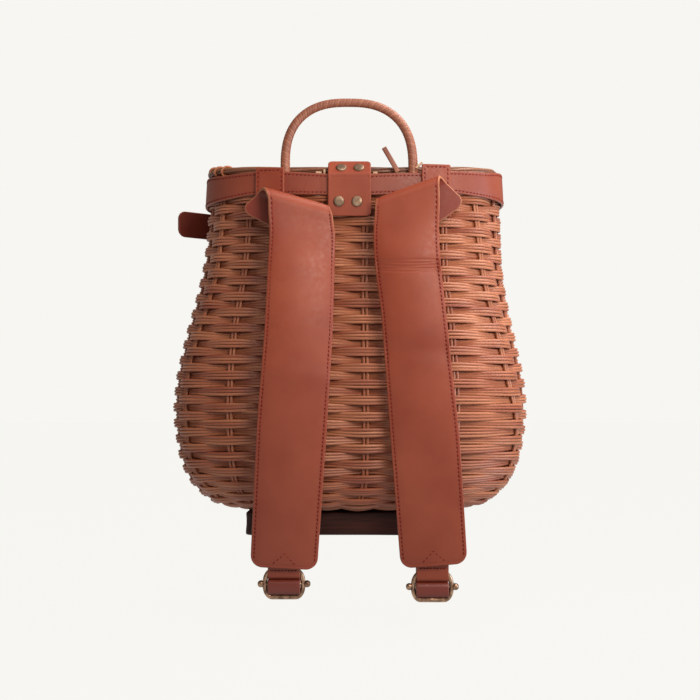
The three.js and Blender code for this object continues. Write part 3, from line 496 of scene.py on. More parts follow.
def sewn(shape, runs, lift, pitch=STITCH_PITCH, length=STITCH_LENGTH):
    """Threads on a sheet: a spindle for each stitch along runs of (s, w) points, its ends turned a
    little off the line."""
    tails, heads = [], []
    for run in runs:
        run = np.asarray(run, float)
        far = running_length(run)
        count = max(1, int(far[-1] / pitch))
        at = (np.arange(count) + 0.5) * far[-1] / count
        place = on_line(run, far, at)
        ahead = unit(on_line(run, far, at + 0.5) - on_line(run, far, at - 0.5))
        reach = (ahead + STITCH_SLANT * ahead[:, ::-1] * (-1, 1)) * length / 2
        tails.append(place - reach)
        heads.append(place + reach)
    tails, heads = np.concatenate(tails), np.concatenate(heads)
    tail, head = (shape(*end.T) + facing(shape, *end.T) * lift for end in (tails, heads))
    axis = head - tail
    up = facing(shape, *((tails + heads) / 2).T)
    side = unit(np.cross(axis, up))
    stops = STITCH_STOPS[:, None, None]
    bulge = np.sqrt(np.maximum(1 - np.abs(2 * stops - 1) ** 3, 0.02))
    turn = full_turn(STITCH_SIDES)
    ring = (side[:, None] * np.cos(turn) * STITCH_WIDTH / 2
            + up[:, None] * np.sin(turn) * STITCH_HEIGHT)
    points = tail[:, None, None] + axis[:, None, None] * stops + ring[:, None] * bulge
    plain = np.zeros((len(points), len(stops) * (STITCH_SIDES + 1), 2))
    return rolled(points, False, plain, rng.uniform(0, 1, (len(points), 1, 1)))


# Woven wall

def catmull_rom(points, count):
    """Points on the smooth curve through a table of points, count for each span."""
    guides = np.concatenate([points[:1], points, points[-1:]])
    a, b, c, d = (guides[k:len(points) - 1 + k, None] for k in range(4))
    leave, arrive = (c - a) / 2, (d - b) / 2
    t = np.linspace(0, 1, count, endpoint=False)[:, None]
    curve = ((2 * b - 2 * c + leave + arrive) * t ** 3
             + (3 * c - 3 * b - 2 * leave - arrive) * t ** 2 + leave * t + b)
    return np.concatenate([curve.reshape(-1, points.shape[1]), points[-1:]])


def plan_outline(back, front):
    """Outline of half width 1 as points an even way round from the middle of the back, and its
    length: a superellipse with these depths, flatter behind than in front."""
    turn = np.linspace(-0.5, 1.5, 8001) * math.pi
    behind = np.sin(turn) < 0
    power = np.where(behind, BACK_POWER, FRONT_POWER)
    x = drawn_out(np.cos(turn), power)
    y = drawn_out(np.sin(turn), power) * np.where(behind, back, front)
    length = running_length(np.stack([x, y], 1))
    evenly = np.linspace(0, length[-1], PLAN_POINTS + 1)
    return np.interp(evenly, length, x), np.interp(evenly, length, y), length[-1]


def round_plan(outline, q):
    """Place on an outline at a share of the way round."""
    at = np.mod(q, 1) * PLAN_POINTS
    number = np.arange(PLAN_POINTS + 1)
    return np.interp(at, number, outline[0]), np.interp(at, number, outline[1])


WALL_PLAN = plan_outline(BACK_RATIO, FRONT_RATIO)
WALL_CURVE = catmull_rom(SECTIONS, SECTION_POINTS)
WALL_RISE = (WALL_CURVE[-1] - WALL_CURVE[-2]) / (WALL_CURVE[-1] - WALL_CURVE[-2])[0]
BOTTOM_LINE = np.linspace(BOTTOM_CENTRE, SECTIONS[0, 1], BOTTOM_POINTS, endpoint=False)
MERIDIAN = np.concatenate([
    np.stack([np.zeros(BOTTOM_POINTS), BOTTOM_LINE], 1),
    WALL_CURVE, [WALL_CURVE[-1] + WALL_RISE * ABOVE_RIM]])
MERIDIAN_LENGTH = running_length(MERIDIAN) - (SECTIONS[0, 1] - BOTTOM_CENTRE)
ROW_PITCH = running_length(WALL_CURVE)[-1] / ROWS


def lean(height):
    """How far the wall leans to the right at a height."""
    return RIM_LEAN * smoothstep(height, LEAN_FROM, LEAN_TO)


def meridian(s):
    """Height and half width at s, the distance up the meridian from the edge of the bottom."""
    return (np.interp(s, MERIDIAN_LENGTH, column) for column in MERIDIAN.T)


def up_meridian(height):
    """Distance up the meridian to a height of the wall."""
    return np.interp(height, MERIDIAN[BOTTOM_POINTS:, 0], MERIDIAN_LENGTH[BOTTOM_POINTS:])


def half_width(height):
    """Half width of the wall's face at a height."""
    return np.interp(height, *MERIDIAN[BOTTOM_POINTS:].T)


def wall_face(q, s):
    """Outer face of the wall: the plan at q, a share of the way round, scaled to the half width of
    the meridian at s."""
    height, half = meridian(s)
    x, y = round_plan(WALL_PLAN, q)
    return points_at(half * x + lean(height), half * y, height)


def wall_out(q, s):
    """Direction straight out of the wall's face."""
    return facing(wall_face, q, s, 0.5 / PLAN_POINTS, 1.0)


def back_depth(x, height, out):
    """Depth of the back wall straight behind x, at a distance out from its face."""
    half = half_width(height)
    share = np.minimum(np.abs(x - lean(height)) / (half + out), 1)
    return -(half * BACK_RATIO + out) * superellipse(share, BACK_POWER)


def stakes_round(u, s):
    """Share of the way round at u, a share counted in stakes: these start beside the middle of the
    back, and are further apart there at the neck than at the belly. At the belly the fourth one to
    each side stands further round the corner, and to the right the next ones make room for it."""
    height, half = meridian(s)
    spread = np.interp(half, *STAKE_SPREAD)
    at = u + np.interp(half, *STAKE_SHIFT)
    corner = np.exp(-((np.mod(u, 1) - 1 + FOURTH_STAKE / STAKES) / CORNER_WIDTH) ** 2)
    counted = np.mod(u, 1) * STAKES
    right = (smoothstep(counted, FOURTH_STAKE - 1, FOURTH_STAKE)
             * (1 - smoothstep(counted, FOURTH_STAKE, FOURTH_STAKE + MAKING_ROOM)))
    moved = np.interp(height, *STAKE_RIGHT) * right - np.interp(half, *STAKE_CORNER) * corner
    return at - spread * np.sin(4 * math.pi * at) / (4 * math.pi) + moved


def weave_rows(rows, samples, sides):
    """Rows of three strands side by side. Each strand rides round the wall on its middle surface
    and sways out and in as a cosine, out at every other stake, and the next row the other way. Its
    row is spread where it is out and drawn together where it is in. The strands are a little
    thicker on the far side and below, and lie flatter where the wall turns in to the bottom."""
    count = STAKES * samples
    u = np.arange(count) / count
    row = np.repeat(rows, 3)[:, None]
    strand = np.tile([-1, 0, 1], len(rows))[:, None]
    wander = sum(size * np.sin(2 * math.pi * (waves * u + shift * row))
                 for size, waves, shift in WANDER)
    wander = wander + rng.uniform(-ROW_JITTER, ROW_JITTER, row.shape)
    beat = np.cos(math.pi * (STAKES * u - 0.5 + row))
    s = row * ROW_PITCH + strand * (1 + PINCH * beat) * ROW_PITCH / 3 + wander
    q = stakes_round(u, s)
    crowd = np.clip(list(meridian(s))[1] / CROWDED_HALF, CROWDED_SWAY, 1)
    swing = SWAY * (1 + rng.uniform(-SWAY_JITTER, SWAY_JITTER, row.shape)) * beat * crowd
    round_out = ROUND_OUT * (1 - np.abs(strand)) * np.clip(beat, 0, 1)
    out, face = wall_out(q, s), wall_face(q, s)
    calm = CALM_SWAY + (1 - CALM_SWAY) * smoothstep(face[..., 2], CALM_FROM, CALM_TO)
    paths = face + out * ((swing + round_out) * calm - WALL_MIDDLE)[..., None]
    shade = rng.uniform(0.2, 0.8, row.shape)
    waves = rng.integers(2, 6, row.shape) * u + rng.uniform(0, 1, row.shape)
    shade = shade + 0.16 * np.sin(2 * math.pi * waves)
    far = smoothstep(paths[..., 1], *FAR_DEPTHS)
    low, edge = (1 - smoothstep(paths[..., 2], *span) for span in (LOW_HEIGHTS, EDGE_HEIGHTS))
    thick = STRAND_RADIUS + far * (FAR_THICKER + LOW_THICKER * low) + EDGE_THICKER * edge
    return tubes(paths, out, thick[..., None], shade[..., None], sides, closed=True)


def stake_pairs():
    """Pairs of rods up the middle surface of the wall, at the places that its stakes have."""
    s = np.linspace(MERIDIAN_LENGTH[2], up_meridian(RIM - 2.0), STAKE_STATIONS)
    half = list(meridian(s))[1]
    apart = np.minimum(STAKE_APART / (half * WALL_PLAN[2]), 0.2 / STAKES)
    middle = ((np.arange(STAKES) + 0.5) / STAKES)[:, None]
    u = np.concatenate([middle - apart, middle + apart])
    s = np.broadcast_to(s, u.shape)
    q = stakes_round(u, s)
    out = wall_out(q, s)
    shade = rng.uniform(0.35, 0.9, (len(q), 1, 1))
    return tubes(wall_face(q, s) - out * WALL_MIDDLE, out, STAKE_RADIUS, shade)


def strand_ends(count):
    """Cut ends of strands that come up beside a stake and lie on the next row, and the pale faces
    of the cuts: some round the front, and two at the left whose places are known."""
    known = [round(up_meridian(height) / ROW_PITCH) for height in KNOWN_END_HEIGHTS]
    stake = np.concatenate([rng.integers(6, STAKES - 5, count), [STAKES - 2] * len(known)])
    row = np.concatenate([rng.integers(4, ROWS - 6, count), known])
    row = row + (stake + row) % 2
    from_stake = np.repeat(CUT_STARTS, [count, len(known)])
    t = np.linspace(0, 1, 7)
    s = row[:, None] * ROW_PITCH + ROW_PITCH * (CUT_ROW - CUT_FALL * t)
    q = stakes_round(((stake + 0.5 + from_stake)[:, None] + CUT_REACH * t) / STAKES, s)
    out = wall_out(q, s)
    paths = wall_face(q, s) + out * (CUT_DEPTH + CUT_RISE * smoothstep(t, 0, 0.8))[:, None]
    last = paths[:, -1:]
    tip = last + (last - paths[:, -2:-1]) * np.array([-0.1, 0.12])[:, None]
    return tubes(paths, out, CUT_RADIUS, 0.8), tubes(tip, out[:, -2:], CUT_FACE_RADIUS, 0.9)


# Materials

def linear(colour):
    """Linear colour of an sRGB hex value."""
    values = np.array([int(colour[k:k + 2], 16) for k in (1, 3, 5)]) / 255
    values = np.where(values > 0.04045, ((values + 0.055) / 1.055) ** 2.4, values / 12.92)
    return (*values.tolist(), 1.0)


def feed(tree, made, inputs):
    """Sets inputs of a node to values, hex colours made linear, or links from other nodes."""
    for key, value in inputs.items():
        if isinstance(value, bpy.types.NodeSocket):
            tree.links.new(value, made.inputs[key])
        else:
            made.inputs[key].default_value = linear(value) if isinstance(value, str) else value


def node(tree, kind, inputs, out=0, **settings):
    """Adds a node with its settings and inputs, and gives back one of its outputs."""
    made = tree.nodes.new(kind)
    for key, value in settings.items():
        setattr(made, key, value)
    feed(tree, made, inputs)
    return made.outputs[out]


def finish_of(name, constants):
    """A new material, its node tree and its shader, with the values that are the same all over."""
    material = bpy.data.materials.new(name)
    material.use_nodes = True
    tree = material.node_tree
    shader = tree.nodes["Principled BSDF"]
    feed(tree, shader, constants)
    return material, tree, shader


def rattan(name, dark, light, streak, fibre=(36.0, 0.8)):
    """Rattan core, dyed and oiled. Each strand has its own depth of dye, and long fibres run along
    it, which the eye reads as fine streaks with a dull gloss."""
    material, tree, shader = finish_of(name, {"Roughness": 0.48, "Specular IOR Level": 0.52})
    tint = node(tree, "ShaderNodeAttribute", {}, "Fac", attribute_name="tint")
    cut = node(tree, "ShaderNodeUVMap", {}, uv_map="cut")
    scale = (UV_MM / fibre[0], UV_MM / fibre[1], 1.0)
    along = node(tree, "ShaderNodeMapping", {"Vector": cut, "Scale": scale})
    fibres = node(tree, "ShaderNodeTexNoise", {"Vector": along, "Scale": 1.0, "Detail": 3.0})
    place = node(tree, "ShaderNodeTexCoord", {}, "Object")
    blotch = node(tree, "ShaderNodeTexNoise", {
        "Vector": place, "Scale": 1 / (35 * MM), "Detail": 2.0})
    depth = node(tree, "ShaderNodeMath", {0: tint, 1: blotch}, operation="ADD")
    share = node(tree, "ShaderNodeMapRange", {0: depth, 1: 0.35, 2: 1.65})
    dyed = node(tree, "ShaderNodeMix", {0: share, 6: dark, 7: light}, 2, data_type="RGBA")
    thin = node(tree, "ShaderNodeMapRange", {0: fibres, 1: 0.5, 2: 0.75, 3: 0.0, 4: 0.6})
    colour = node(tree, "ShaderNodeMix", {0: thin, 6: dyed, 7: streak}, 2, data_type="RGBA")
    bump = node(tree, "ShaderNodeBump", {
        "Height": fibres, "Strength": 0.35, "Distance": 0.25 * MM})
    feed(tree, shader, {"Base Color": colour, "Normal": bump})
    return material


def tanned(name, dark, light, cut_edge, seam, polish=0.32, gloss=0.44):
    """Vegetable-tanned leather, dyed through and polished: smooth, with a shallow grain, cloudy
    depth of colour and paler cut edges. Its back is mixed most of the way to the seam colour as
    painted shade. The grain of about 0.5 mm is drawn at 1.8 mm, so that it shows."""
    material, tree, shader = finish_of(name, {"Specular IOR Level": polish})
    place = node(tree, "ShaderNodeTexCoord", {}, "Object")
    cloud = node(tree, "ShaderNodeTexNoise", {
        "Vector": place, "Scale": 1 / (55 * MM), "Detail": 4.0})
    grain = node(tree, "ShaderNodeTexVoronoi", {"Vector": place, "Scale": 1 / (1.8 * MM)})
    pores = node(tree, "ShaderNodeTexNoise", {
        "Vector": place, "Scale": 1 / (4 * MM), "Detail": 3.0})
    share = node(tree, "ShaderNodeMapRange", {0: cloud, 1: 0.3, 2: 0.7})
    dyed = node(tree, "ShaderNodeMix", {0: share, 6: dark, 7: light}, 2, data_type="RGBA")
    # The seam value darkens the seam line a little, and the back much more as painted shade
    line = node(tree, "ShaderNodeAttribute", {}, "Fac", attribute_name="seam")
    shade = node(tree, "ShaderNodeMapRange", {
        0: line, 1: 0.0, 2: BACK_PAINTED_SHADE, 3: 0.0, 4: 0.3 * BACK_PAINTED_SHADE})
    seamed_and_painted_shade = node(tree, "ShaderNodeMix", {0: shade, 6: dyed, 7: seam}, 2, data_type="RGBA")
    edge = node(tree, "ShaderNodeAttribute", {}, "Fac", attribute_name="edge")
    pale = node(tree, "ShaderNodeMapRange", {0: edge, 1: 0.15, 2: 0.9})
    colour = node(tree, "ShaderNodeMix", {0: pale, 6: seamed_and_painted_shade, 7: cut_edge}, 2, data_type="RGBA")
    rough = node(tree, "ShaderNodeMapRange", {
        0: pores, 1: 0.3, 2: 0.7, 3: gloss - 0.06, 4: gloss + 0.1})
    relief = node(tree, "ShaderNodeMath", {0: grain, 1: pores}, operation="ADD")
    bump = node(tree, "ShaderNodeBump", {"Height": relief, "Strength": 0.1, "Distance": 0.2 * MM})
    feed(tree, shader, {"Base Color": colour, "Roughness": rough, "Normal": bump})
    return material


def waxed_thread(name, dark, light):
    """Waxed linen thread: dull, each stitch a little lighter or darker than the next."""
    material, tree, shader = finish_of(name, {"Roughness": 0.85, "Specular IOR Level": 0.08})
    tint = node(tree, "ShaderNodeAttribute", {}, "Fac", attribute_name="tint")
    colour = node(tree, "ShaderNodeMix", {0: tint, 6: dark, 7: light}, 2, data_type="RGBA")
    feed(tree, shader, {"Base Color": colour})
    return material


def antique_brass(name, dark, light, dull=0.37):
    """Brass with an antique finish: blackened, then rubbed back, so cloudy and softly bright."""
    material, tree, shader = finish_of(name, {"Metallic": 1.0})
    place = node(tree, "ShaderNodeTexCoord", {}, "Object")
    cloud = node(tree, "ShaderNodeTexNoise", {
        "Vector": place, "Scale": 1 / (6 * MM), "Detail": 4.0})
    share = node(tree, "ShaderNodeMapRange", {0: cloud, 1: 0.35, 2: 0.62})
    colour = node(tree, "ShaderNodeMix", {0: share, 6: dark, 7: light}, 2, data_type="RGBA")
    rough = node(tree, "ShaderNodeMapRange", {
        0: cloud, 1: 0.3, 2: 0.7, 3: dull + 0.09, 4: dull - 0.09})
    feed(tree, shader, {"Base Color": colour, "Roughness": rough})
    return material


def stained_wood(name, dark, light):
    """Sawn wood under a dark stain: streaks along its length and a dull, slightly rough face."""
    material, tree, shader = finish_of(name, {"Roughness": 0.65, "Specular IOR Level": 0.2})
    place = node(tree, "ShaderNodeTexCoord", {}, "Object")
    along = node(tree, "ShaderNodeMapping", {
        "Vector": place, "Scale": (1 / (60 * MM), 1 / (3 * MM), 1 / (3 * MM))})
    streak = node(tree, "ShaderNodeTexNoise", {"Vector": along, "Scale": 1.0, "Detail": 4.0})
    share = node(tree, "ShaderNodeMapRange", {0: streak, 1: 0.42, 2: 0.75})
    colour = node(tree, "ShaderNodeMix", {0: share, 6: dark, 7: light}, 2, data_type="RGBA")
    bump = node(tree, "ShaderNodeBump", {"Height": streak, "Strength": 0.4, "Distance": 0.4 * MM})
    feed(tree, shader, {"Base Color": colour, "Normal": bump})
    return material


WALL_RATTAN = rattan("rattan_core_dyed", "#8e4129", "#c57f59", "#602413")
BINDING_RATTAN = rattan("rattan_cane_wound", "#7b3f2c", "#b17154", "#582a1d", (20.0, 0.6))
BARE_RATTAN = rattan("rattan_cut_bare", "#b58a6a", "#d9bb9e", "#8f6448")
# Rattan for the lid's border: the wall's rattan made darker, as painted shade for the shadow along
# the lid's edge
PAINTED_SHADE_RATTAN = rattan("rattan_core_painted_shade", "#432014", "#905d43", "#2e160d")
STRAP_HIDE = tanned("leather_veg_tanned", "#853723", "#98472f", "#a96a4b", "#7a2c1f")
# A slightly darker copy of the strap leather: the rim band's own tone, and painted shade on the
# lower straps, which hang in the buckles' shadow
BAND_AND_SHADED_LOOP_HIDE = tanned("leather_red_tanned", "#7c3321", "#8e412b", "#a0654a", "#70291d", 0.46)
DARK_HIDE = tanned("leather_dark_tanned", "#8d3d2f", "#a04b38", "#b45d43", "#6a2b1f")
THREAD = waxed_thread("thread_waxed_red", "#641b15", "#80291f")
BUCKLE_BRASS = antique_brass("brass_antique_dark", "#6a5042", "#ab8a72")
RIVET_BRASS = antique_brass("brass_antique_pale", "#6d5a4b", "#987f6b", 0.5)
FOOT_WOOD = stained_wood("wood_dark_stain", "#2b100b", "#481d14")


# Basket

for part, first, last in WALL_PARTS:
    woven = weave_rows(np.arange(first, last), STRAND_SAMPLES, STRAND_SIDES)
    add_piece(f"wall_weave_{part}", woven, WALL_RATTAN, "wicker",
              ["basket_body"] if part == "upper" else [])
add_piece("wall_stakes", stake_pairs(), WALL_RATTAN, "wicker")
bottom = weave_rows(np.arange(-BOTTOM_ROWS, 0), BOTTOM_SAMPLES, BOTTOM_SIDES)
add_piece("bottom_weave", bottom, WALL_RATTAN, "wicker")
cut_ends, cut_faces = strand_ends(CUT_ENDS)
add_piece("strand_cut_ends", cut_ends, WALL_RATTAN, "wicker")
add_piece("strand_cut_faces", cut_faces, BARE_RATTAN, "wicker")


def rim_rod():
    """Rod along the top of the wall, inside the band."""
    q = np.arange(RIM_POINTS) / RIM_POINTS
    s = np.full(RIM_POINTS, up_meridian(RIM - RIM_ROD))
    out = wall_out(q, s)
    path = wall_face(q, s) - out * RIM_ROD_IN
    return tubes(path[None], out[None], RIM_ROD, 0.5, 10, closed=True)


add_piece("rim_rod", rim_rod(), WALL_RATTAN, "wicker")


# Lid

BORDER_HALF, BORDER_BACK, BORDER_FRONT = (
    size - LID_BORDER for size in (LID_HALF, LID_BACK, LID_FRONT))
LID_PLAN = plan_outline(BORDER_BACK / BORDER_HALF, BORDER_FRONT / BORDER_HALF)
LID_MIDDLE = RIM + GAP + LID_BORDER


def lid_edge(q):
    """Middle of the lid's round border: its outline, lifted with the square of the way to either
    side, and led out a little under the tab."""
    x, y = round_plan(LID_PLAN, q)
    across = BORDER_HALF * x + LID_LEAN
    under_tab = (y < 0) * (1 - smoothstep(np.abs(across), LID_HINGE_TO, LID_HINGE_FROM))
    depth = BORDER_HALF * y - LID_HINGE * under_tab
    return np.stack([across, depth, LID_MIDDLE + LID_LIFT * x * x], -1)


def lid_face(x, y):
    """Middle surface of the lid's panel: a low dome on the border's lift, by the way out."""
    depth = np.where(y < 0, LID_BACK, LID_FRONT)
    away = np.clip((np.abs(x) / BORDER_HALF) ** 2 + (np.abs(y) / depth) ** 2, 0, 1)
    lift = LID_LIFT * (x / LID_HALF) ** 2 + LID_CROWN * (1 - away) ** LID_CROWN_POWER
    return points_at(x + LID_LEAN, y, LID_MIDDLE + lift)


def lid_width(y):
    """Half width of the lid's panel at this depth, up to the middle of its border."""
    behind = y < 0
    share = np.abs(y) / np.where(behind, BORDER_BACK, BORDER_FRONT)
    return BORDER_HALF * superellipse(share, np.where(behind, BACK_POWER, FRONT_POWER))


def lid_weave():
    """Rows of three strands from side to side of the lid, swaying over and under pairs of rods."""
    rows = np.arange(*LID_ROWS)
    y = (rows[:, None] * LID_PITCH + np.array([-1, 0, 1]) * LID_PITCH / 3).ravel()
    width = lid_width(y)
    keep = (np.abs(y - LID_ROWS_MIDDLE) < LID_ROWS_REACH) & (width > LID_SHORTEST)
    y, row, width = y[keep, None], np.repeat(rows, 3)[keep, None], width[keep, None]
    x = np.linspace(-1, 1, 72) * width
    paths = lid_face(x, y + LID_WANDER * np.sin(x / LID_WANDER_MM + row))
    paths[..., 2] += LID_SWAY * np.cos(math.pi * (x / LID_SPACING + 0.5 + row))
    strands = tubes(paths, UP, LID_STRAND, rng.uniform(0.2, 0.85, (len(y), 1, 1)), 6)
    x = ((np.arange(-4, 4) + 0.5) * LID_SPACING)[:, None] + LID_ROD_APART * np.array([-1, 1])
    x = x[np.abs(x) < LID_HALF - LID_ROD_IN][:, None]
    share = np.minimum(np.abs(x) / BORDER_HALF, 1)
    back = -BORDER_BACK * superellipse(share, BACK_POWER)
    front = BORDER_FRONT * superellipse(share, FRONT_POWER)
    y = back + (front - back) * np.linspace(0, 1, 40)
    rods = tubes(lid_face(np.broadcast_to(x, y.shape), y), UP, LID_ROD,
                 rng.uniform(0.3, 0.8, (len(x), 1, 1)), 8)
    return joined([strands, rods])


def about_border(q, turn):
    """Middle of the lid's border, and the way from it at a turn from outward to upward."""
    middle = lid_edge(q)
    outward = unit(middle - (LID_LEAN, 0, LID_MIDDLE))
    return middle, outward * np.cos(turn) + UP * np.sin(turn)


def lid_border():
    """Border of the lid: strands about its edge, each on a slow turn round the edge's middle."""
    q = np.arange(BORDER_POINTS) / BORDER_POINTS
    count = len(BORDER_SHADES)
    turn = 2 * math.pi * (np.arange(count)[:, None] / count + BORDER_TURNS * q)[..., None]
    middle, away = about_border(q, turn)
    paths = middle + away * (LID_BORDER - BORDER_STRAND)
    return tubes(paths, away, BORDER_STRAND, BORDER_SHADES[:, None, None], closed=True)


def border_binding():
    """Strand wound round the lid's border at its left end: a screw line about its middle."""
    q = np.linspace(-0.25, 0, 600)
    x = lid_edge(q)[:, 0]
    q = q[(x > BINDING_FROM) & (x < BINDING_TO)]
    turn = 2 * BINDING_TURNS * math.pi * np.linspace(0, 1, len(q))[:, None]
    middle, away = about_border(q, turn)
    path = middle + away * (LID_BORDER + BINDING_OUT)
    return tubes(path[None], away[None], BINDING_RADIUS, 0.9)


add_piece("lid_weave", lid_weave(), WALL_RATTAN, "wicker", ["basket_lid"])
# The border's darker rattan is painted shade
add_piece("lid_border", lid_border(), PAINTED_SHADE_RATTAN, "wicker")


# Handle

def handle_line(count):
    """Middle of the handle: straight legs and an arch on a superellipse, leaning a little to the
    left, with the radius along it."""
    turn = math.pi * np.linspace(0, 1, count)
    spring = RIM + GAP + HANDLE_LEG
    x = -HANDLE_HALF * drawn_out(np.cos(turn), HANDLE_POWER)
    z = spring + HANDLE_RISE * drawn_out(np.sin(turn), HANDLE_POWER)
    leg = np.linspace(RIM - HANDLE_IN, spring, LEG_POINTS, endpoint=False)
    x = np.concatenate([np.full(LEG_POINTS, -HANDLE_HALF), x, np.full(LEG_POINTS, HANDLE_HALF)])
    z = np.concatenate([leg, z, leg[::-1]])
    x = x + HANDLE_SHIFT * (1 + np.clip((z - spring) / HANDLE_RISE, 0, 1))
    line = np.stack([x, np.full(len(x), HANDLE_DEPTH), z], 1)
    far = running_length(line)
    line = on_line(line, far, np.linspace(0, far[-1], count))
    share = np.clip((line[:, 2] - spring) / HANDLE_RISE, 0, 1)
    return line, HANDLE_FOOT + (HANDLE_RADIUS - HANDLE_FOOT) * share


def handle_bound():
    """Handle bound with cane: a tube whose radius swells between the edges of each turn of cane.
    The turn at a place is its distance along over the pitch plus its angle, in turns, by the count
    of canes that are wound side by side."""
    path, radius = handle_line(HANDLE_POINTS)
    path[:, 1] += HANDLE_SWAY * np.sin(np.arange(HANDLE_POINTS) / HANDLE_SWAY_POINTS)
    round_share = np.linspace(0, 1, HANDLE_SIDES, endpoint=False)
    turn = running_length(path)[:, None] / CANE_PITCH + CANES * round_share
    swell = 1 - np.abs(2 * (turn % 1) - 1) ** 3
    shade = rng.uniform(0.2, 0.85, CANES)[np.floor(turn).astype(int) % CANES]
    radius = (radius + CANE_OUT)[:, None] - CANE_RIDGE + CANE_RIDGE * swell
    # The tint is darker in the grooves between turns of cane: painted shade
    shade = shade - 0.35 * (1 - swell)
    return tubes(path[None], FORWARD, radius[None], shade[None], HANDLE_SIDES)


def cane_tail():
    """Square-cut end of cane on a low bow: its section is a flat superellipse of power four."""
    t = np.linspace(0, 1, CANE_END_POINTS)
    y = CANE_END_Y - CANE_END_BOW * np.sin(math.pi * t)
    path = points_at(CANE_END_X[0] + CANE_END_X[1] * t, y, CANE_END_Z[0] + CANE_END_Z[1] * t)
    turn = full_turn(CANE_END_SIDES)[:, 0]
    thin, wide = CANE_END_HALVES
    flat = (np.abs(np.cos(turn) / thin) ** 4 + np.abs(np.sin(turn) / wide) ** 4) ** -0.25
    # The tint darkens from foot to tip: painted shade
    shade = np.linspace(0.7, -0.4, CANE_END_POINTS)[None, :, None]
    return tubes(path[None], FORWARD, flat, shade, CANE_END_SIDES)


def cane_tips():
    """Loose ends of cane, each straight from its foot to its tip."""
    foot, tip = CANE_TIPS[:, :1], CANE_TIPS[:, 1:]
    return tubes(foot + (tip - foot) * np.linspace(0, 1, 5)[:, None], FORWARD, CUT_RADIUS, 0.6)


add_piece("handle_bound", handle_bound(), BINDING_RATTAN, "wicker", ["handle"])
add_piece("cane_tail", cane_tail(), BINDING_RATTAN, "wicker", ["cane_end"])
add_piece("lid_cane_tips", cane_tips(), BARE_RATTAN, "wicker")
add_piece("lid_border_binding", border_binding(), WALL_RATTAN, "wicker")


# Rim band

BAND_ROUND = WALL_PLAN[2] * (SECTIONS[-1, 1] + GAP + LEATHER / 2)


def band_edge(s, column):
    """Height of the band's bottom edge (1) or top edge (2) at a distance round."""
    return np.interp(round_plan(WALL_PLAN, s / BAND_ROUND)[0], BAND[:, 0], BAND[:, column])


def band_half(s):
    """Half the band's height at a distance round."""
    return (band_edge(s, 2) - band_edge(s, 1)) / 2


def band_shape(s, w):
    """Band: round the wall's face, just off it, at a height w from the middle of its two edges."""
    height = (band_edge(s, 1) + band_edge(s, 2)) / 2 + w
    height_up, half = meridian(up_meridian(height))
    x, y = round_plan(WALL_PLAN, s / BAND_ROUND)
    off = GAP + LEATHER / 2
    depth = half * y + off * np.sign(y) * np.abs(y / BAND_OFF_FULL).clip(0, 1)
    return np.stack([half * (1 + off / half) * x + lean(height), depth, height], -1)


leather_piece("rim_band_leather", BAND_AND_SHADED_LOOP_HIDE, band_shape, BAND_ROUND, band_half, LEATHER,
              seam=BAND_SEAM, spacing=2.6, closed=True)
round_band = np.linspace(0, BAND_ROUND, 800)
band_runs = [points_at(round_band, edge * (band_half(round_band) - BAND_SEAM)) for edge in (-1, 1)]
add_piece("rim_band_stitches", sewn(band_shape, band_runs, LEATHER / 2 - STITCH_SUNK), THREAD)


# Tab with rivets

TAB_MIDDLE = float(back_depth(RIM_LEAN, TAB_HEIGHT, GAP + LEATHER + GAP)) - LEATHER / 2
TAB_BEND_LENGTH = TAB_BEND * (math.pi / 2 - TAB_SLOPE)
TAB_BENT = TAB_SLOPE_LENGTH + TAB_BEND_LENGTH
TAB_LENGTH = TAB_BENT + TAB_BEND_HEIGHT - TAB_BOTTOM
RIVET_AT = {"low": TAB_LENGTH - RIVET_UP, "high": TAB_SLOPE_LENGTH - RIVET_DOWN}


def tab_shape(s, w):
    """Tab: down a slope from the lid, round a bend over the band's top edge, then straight down."""
    left = np.maximum(TAB_SLOPE_LENGTH - s, 0)
    turn = math.pi / 2 + TAB_SLOPE + np.clip(s - TAB_SLOPE_LENGTH, 0, TAB_BEND_LENGTH) / TAB_BEND
    down = np.maximum(s - TAB_BENT, 0)
    y = TAB_MIDDLE + TAB_BEND + TAB_BEND * np.cos(turn) + left * math.cos(TAB_SLOPE)
    z = TAB_BEND_HEIGHT + TAB_BEND * np.sin(turn) + left * math.sin(TAB_SLOPE) - down
    return points_at(TAB_CENTRE + w, y, z)


def tab_relief(s, w):
    """A crease below the bend and a dent about each lower rivet."""
    total = -TAB_CREASE * np.exp(-((s - TAB_BENT - TAB_CREASE_DOWN) / TAB_CREASE_WIDTH) ** 2)
    for name, end, x in RIVETS:
        away = (s - RIVET_AT[end]) ** 2 + (w - x + TAB_CENTRE) ** 2
        total = total - TAB_DENT * (end == "low") * np.exp(-away / TAB_DENT_SQUARE)
    return total


leather_piece("hinge_tab_leather", STRAP_HIDE, tab_shape, TAB_LENGTH, even(TAB_WIDTH / 2), LEATHER,
              (TAB_CORNER, TAB_CORNER), spacing=1.5, relief=tab_relief)
for name, end, x in RIVETS:
    place = np.array(RIVET_AT[end]), np.array(x - TAB_CENTRE)
    out = facing(tab_shape, *place)
    cap = lathe(RIVET_PROFILE, tab_shape(*place) + out * (LEATHER / 2 - RIVET_SUNK), out, 36)
    add_piece(f"rivet_{name}_cap", cap, RIVET_BRASS, "rivet_metal", [f"rivet_{name}"])


# Shoulder straps

def hung(hang, height):
    """Centre, width and depth of the hanging layer at a height, between the table's rows."""
    above = hang[0] + (hang[0] - hang[1]) / (hang[0, 0] - hang[1, 0]) * 60
    rows = np.concatenate([[above], hang])[::-1]
    return [np.interp(height, rows[:, 0], rows[:, k]) for k in (1, 2, 3)]


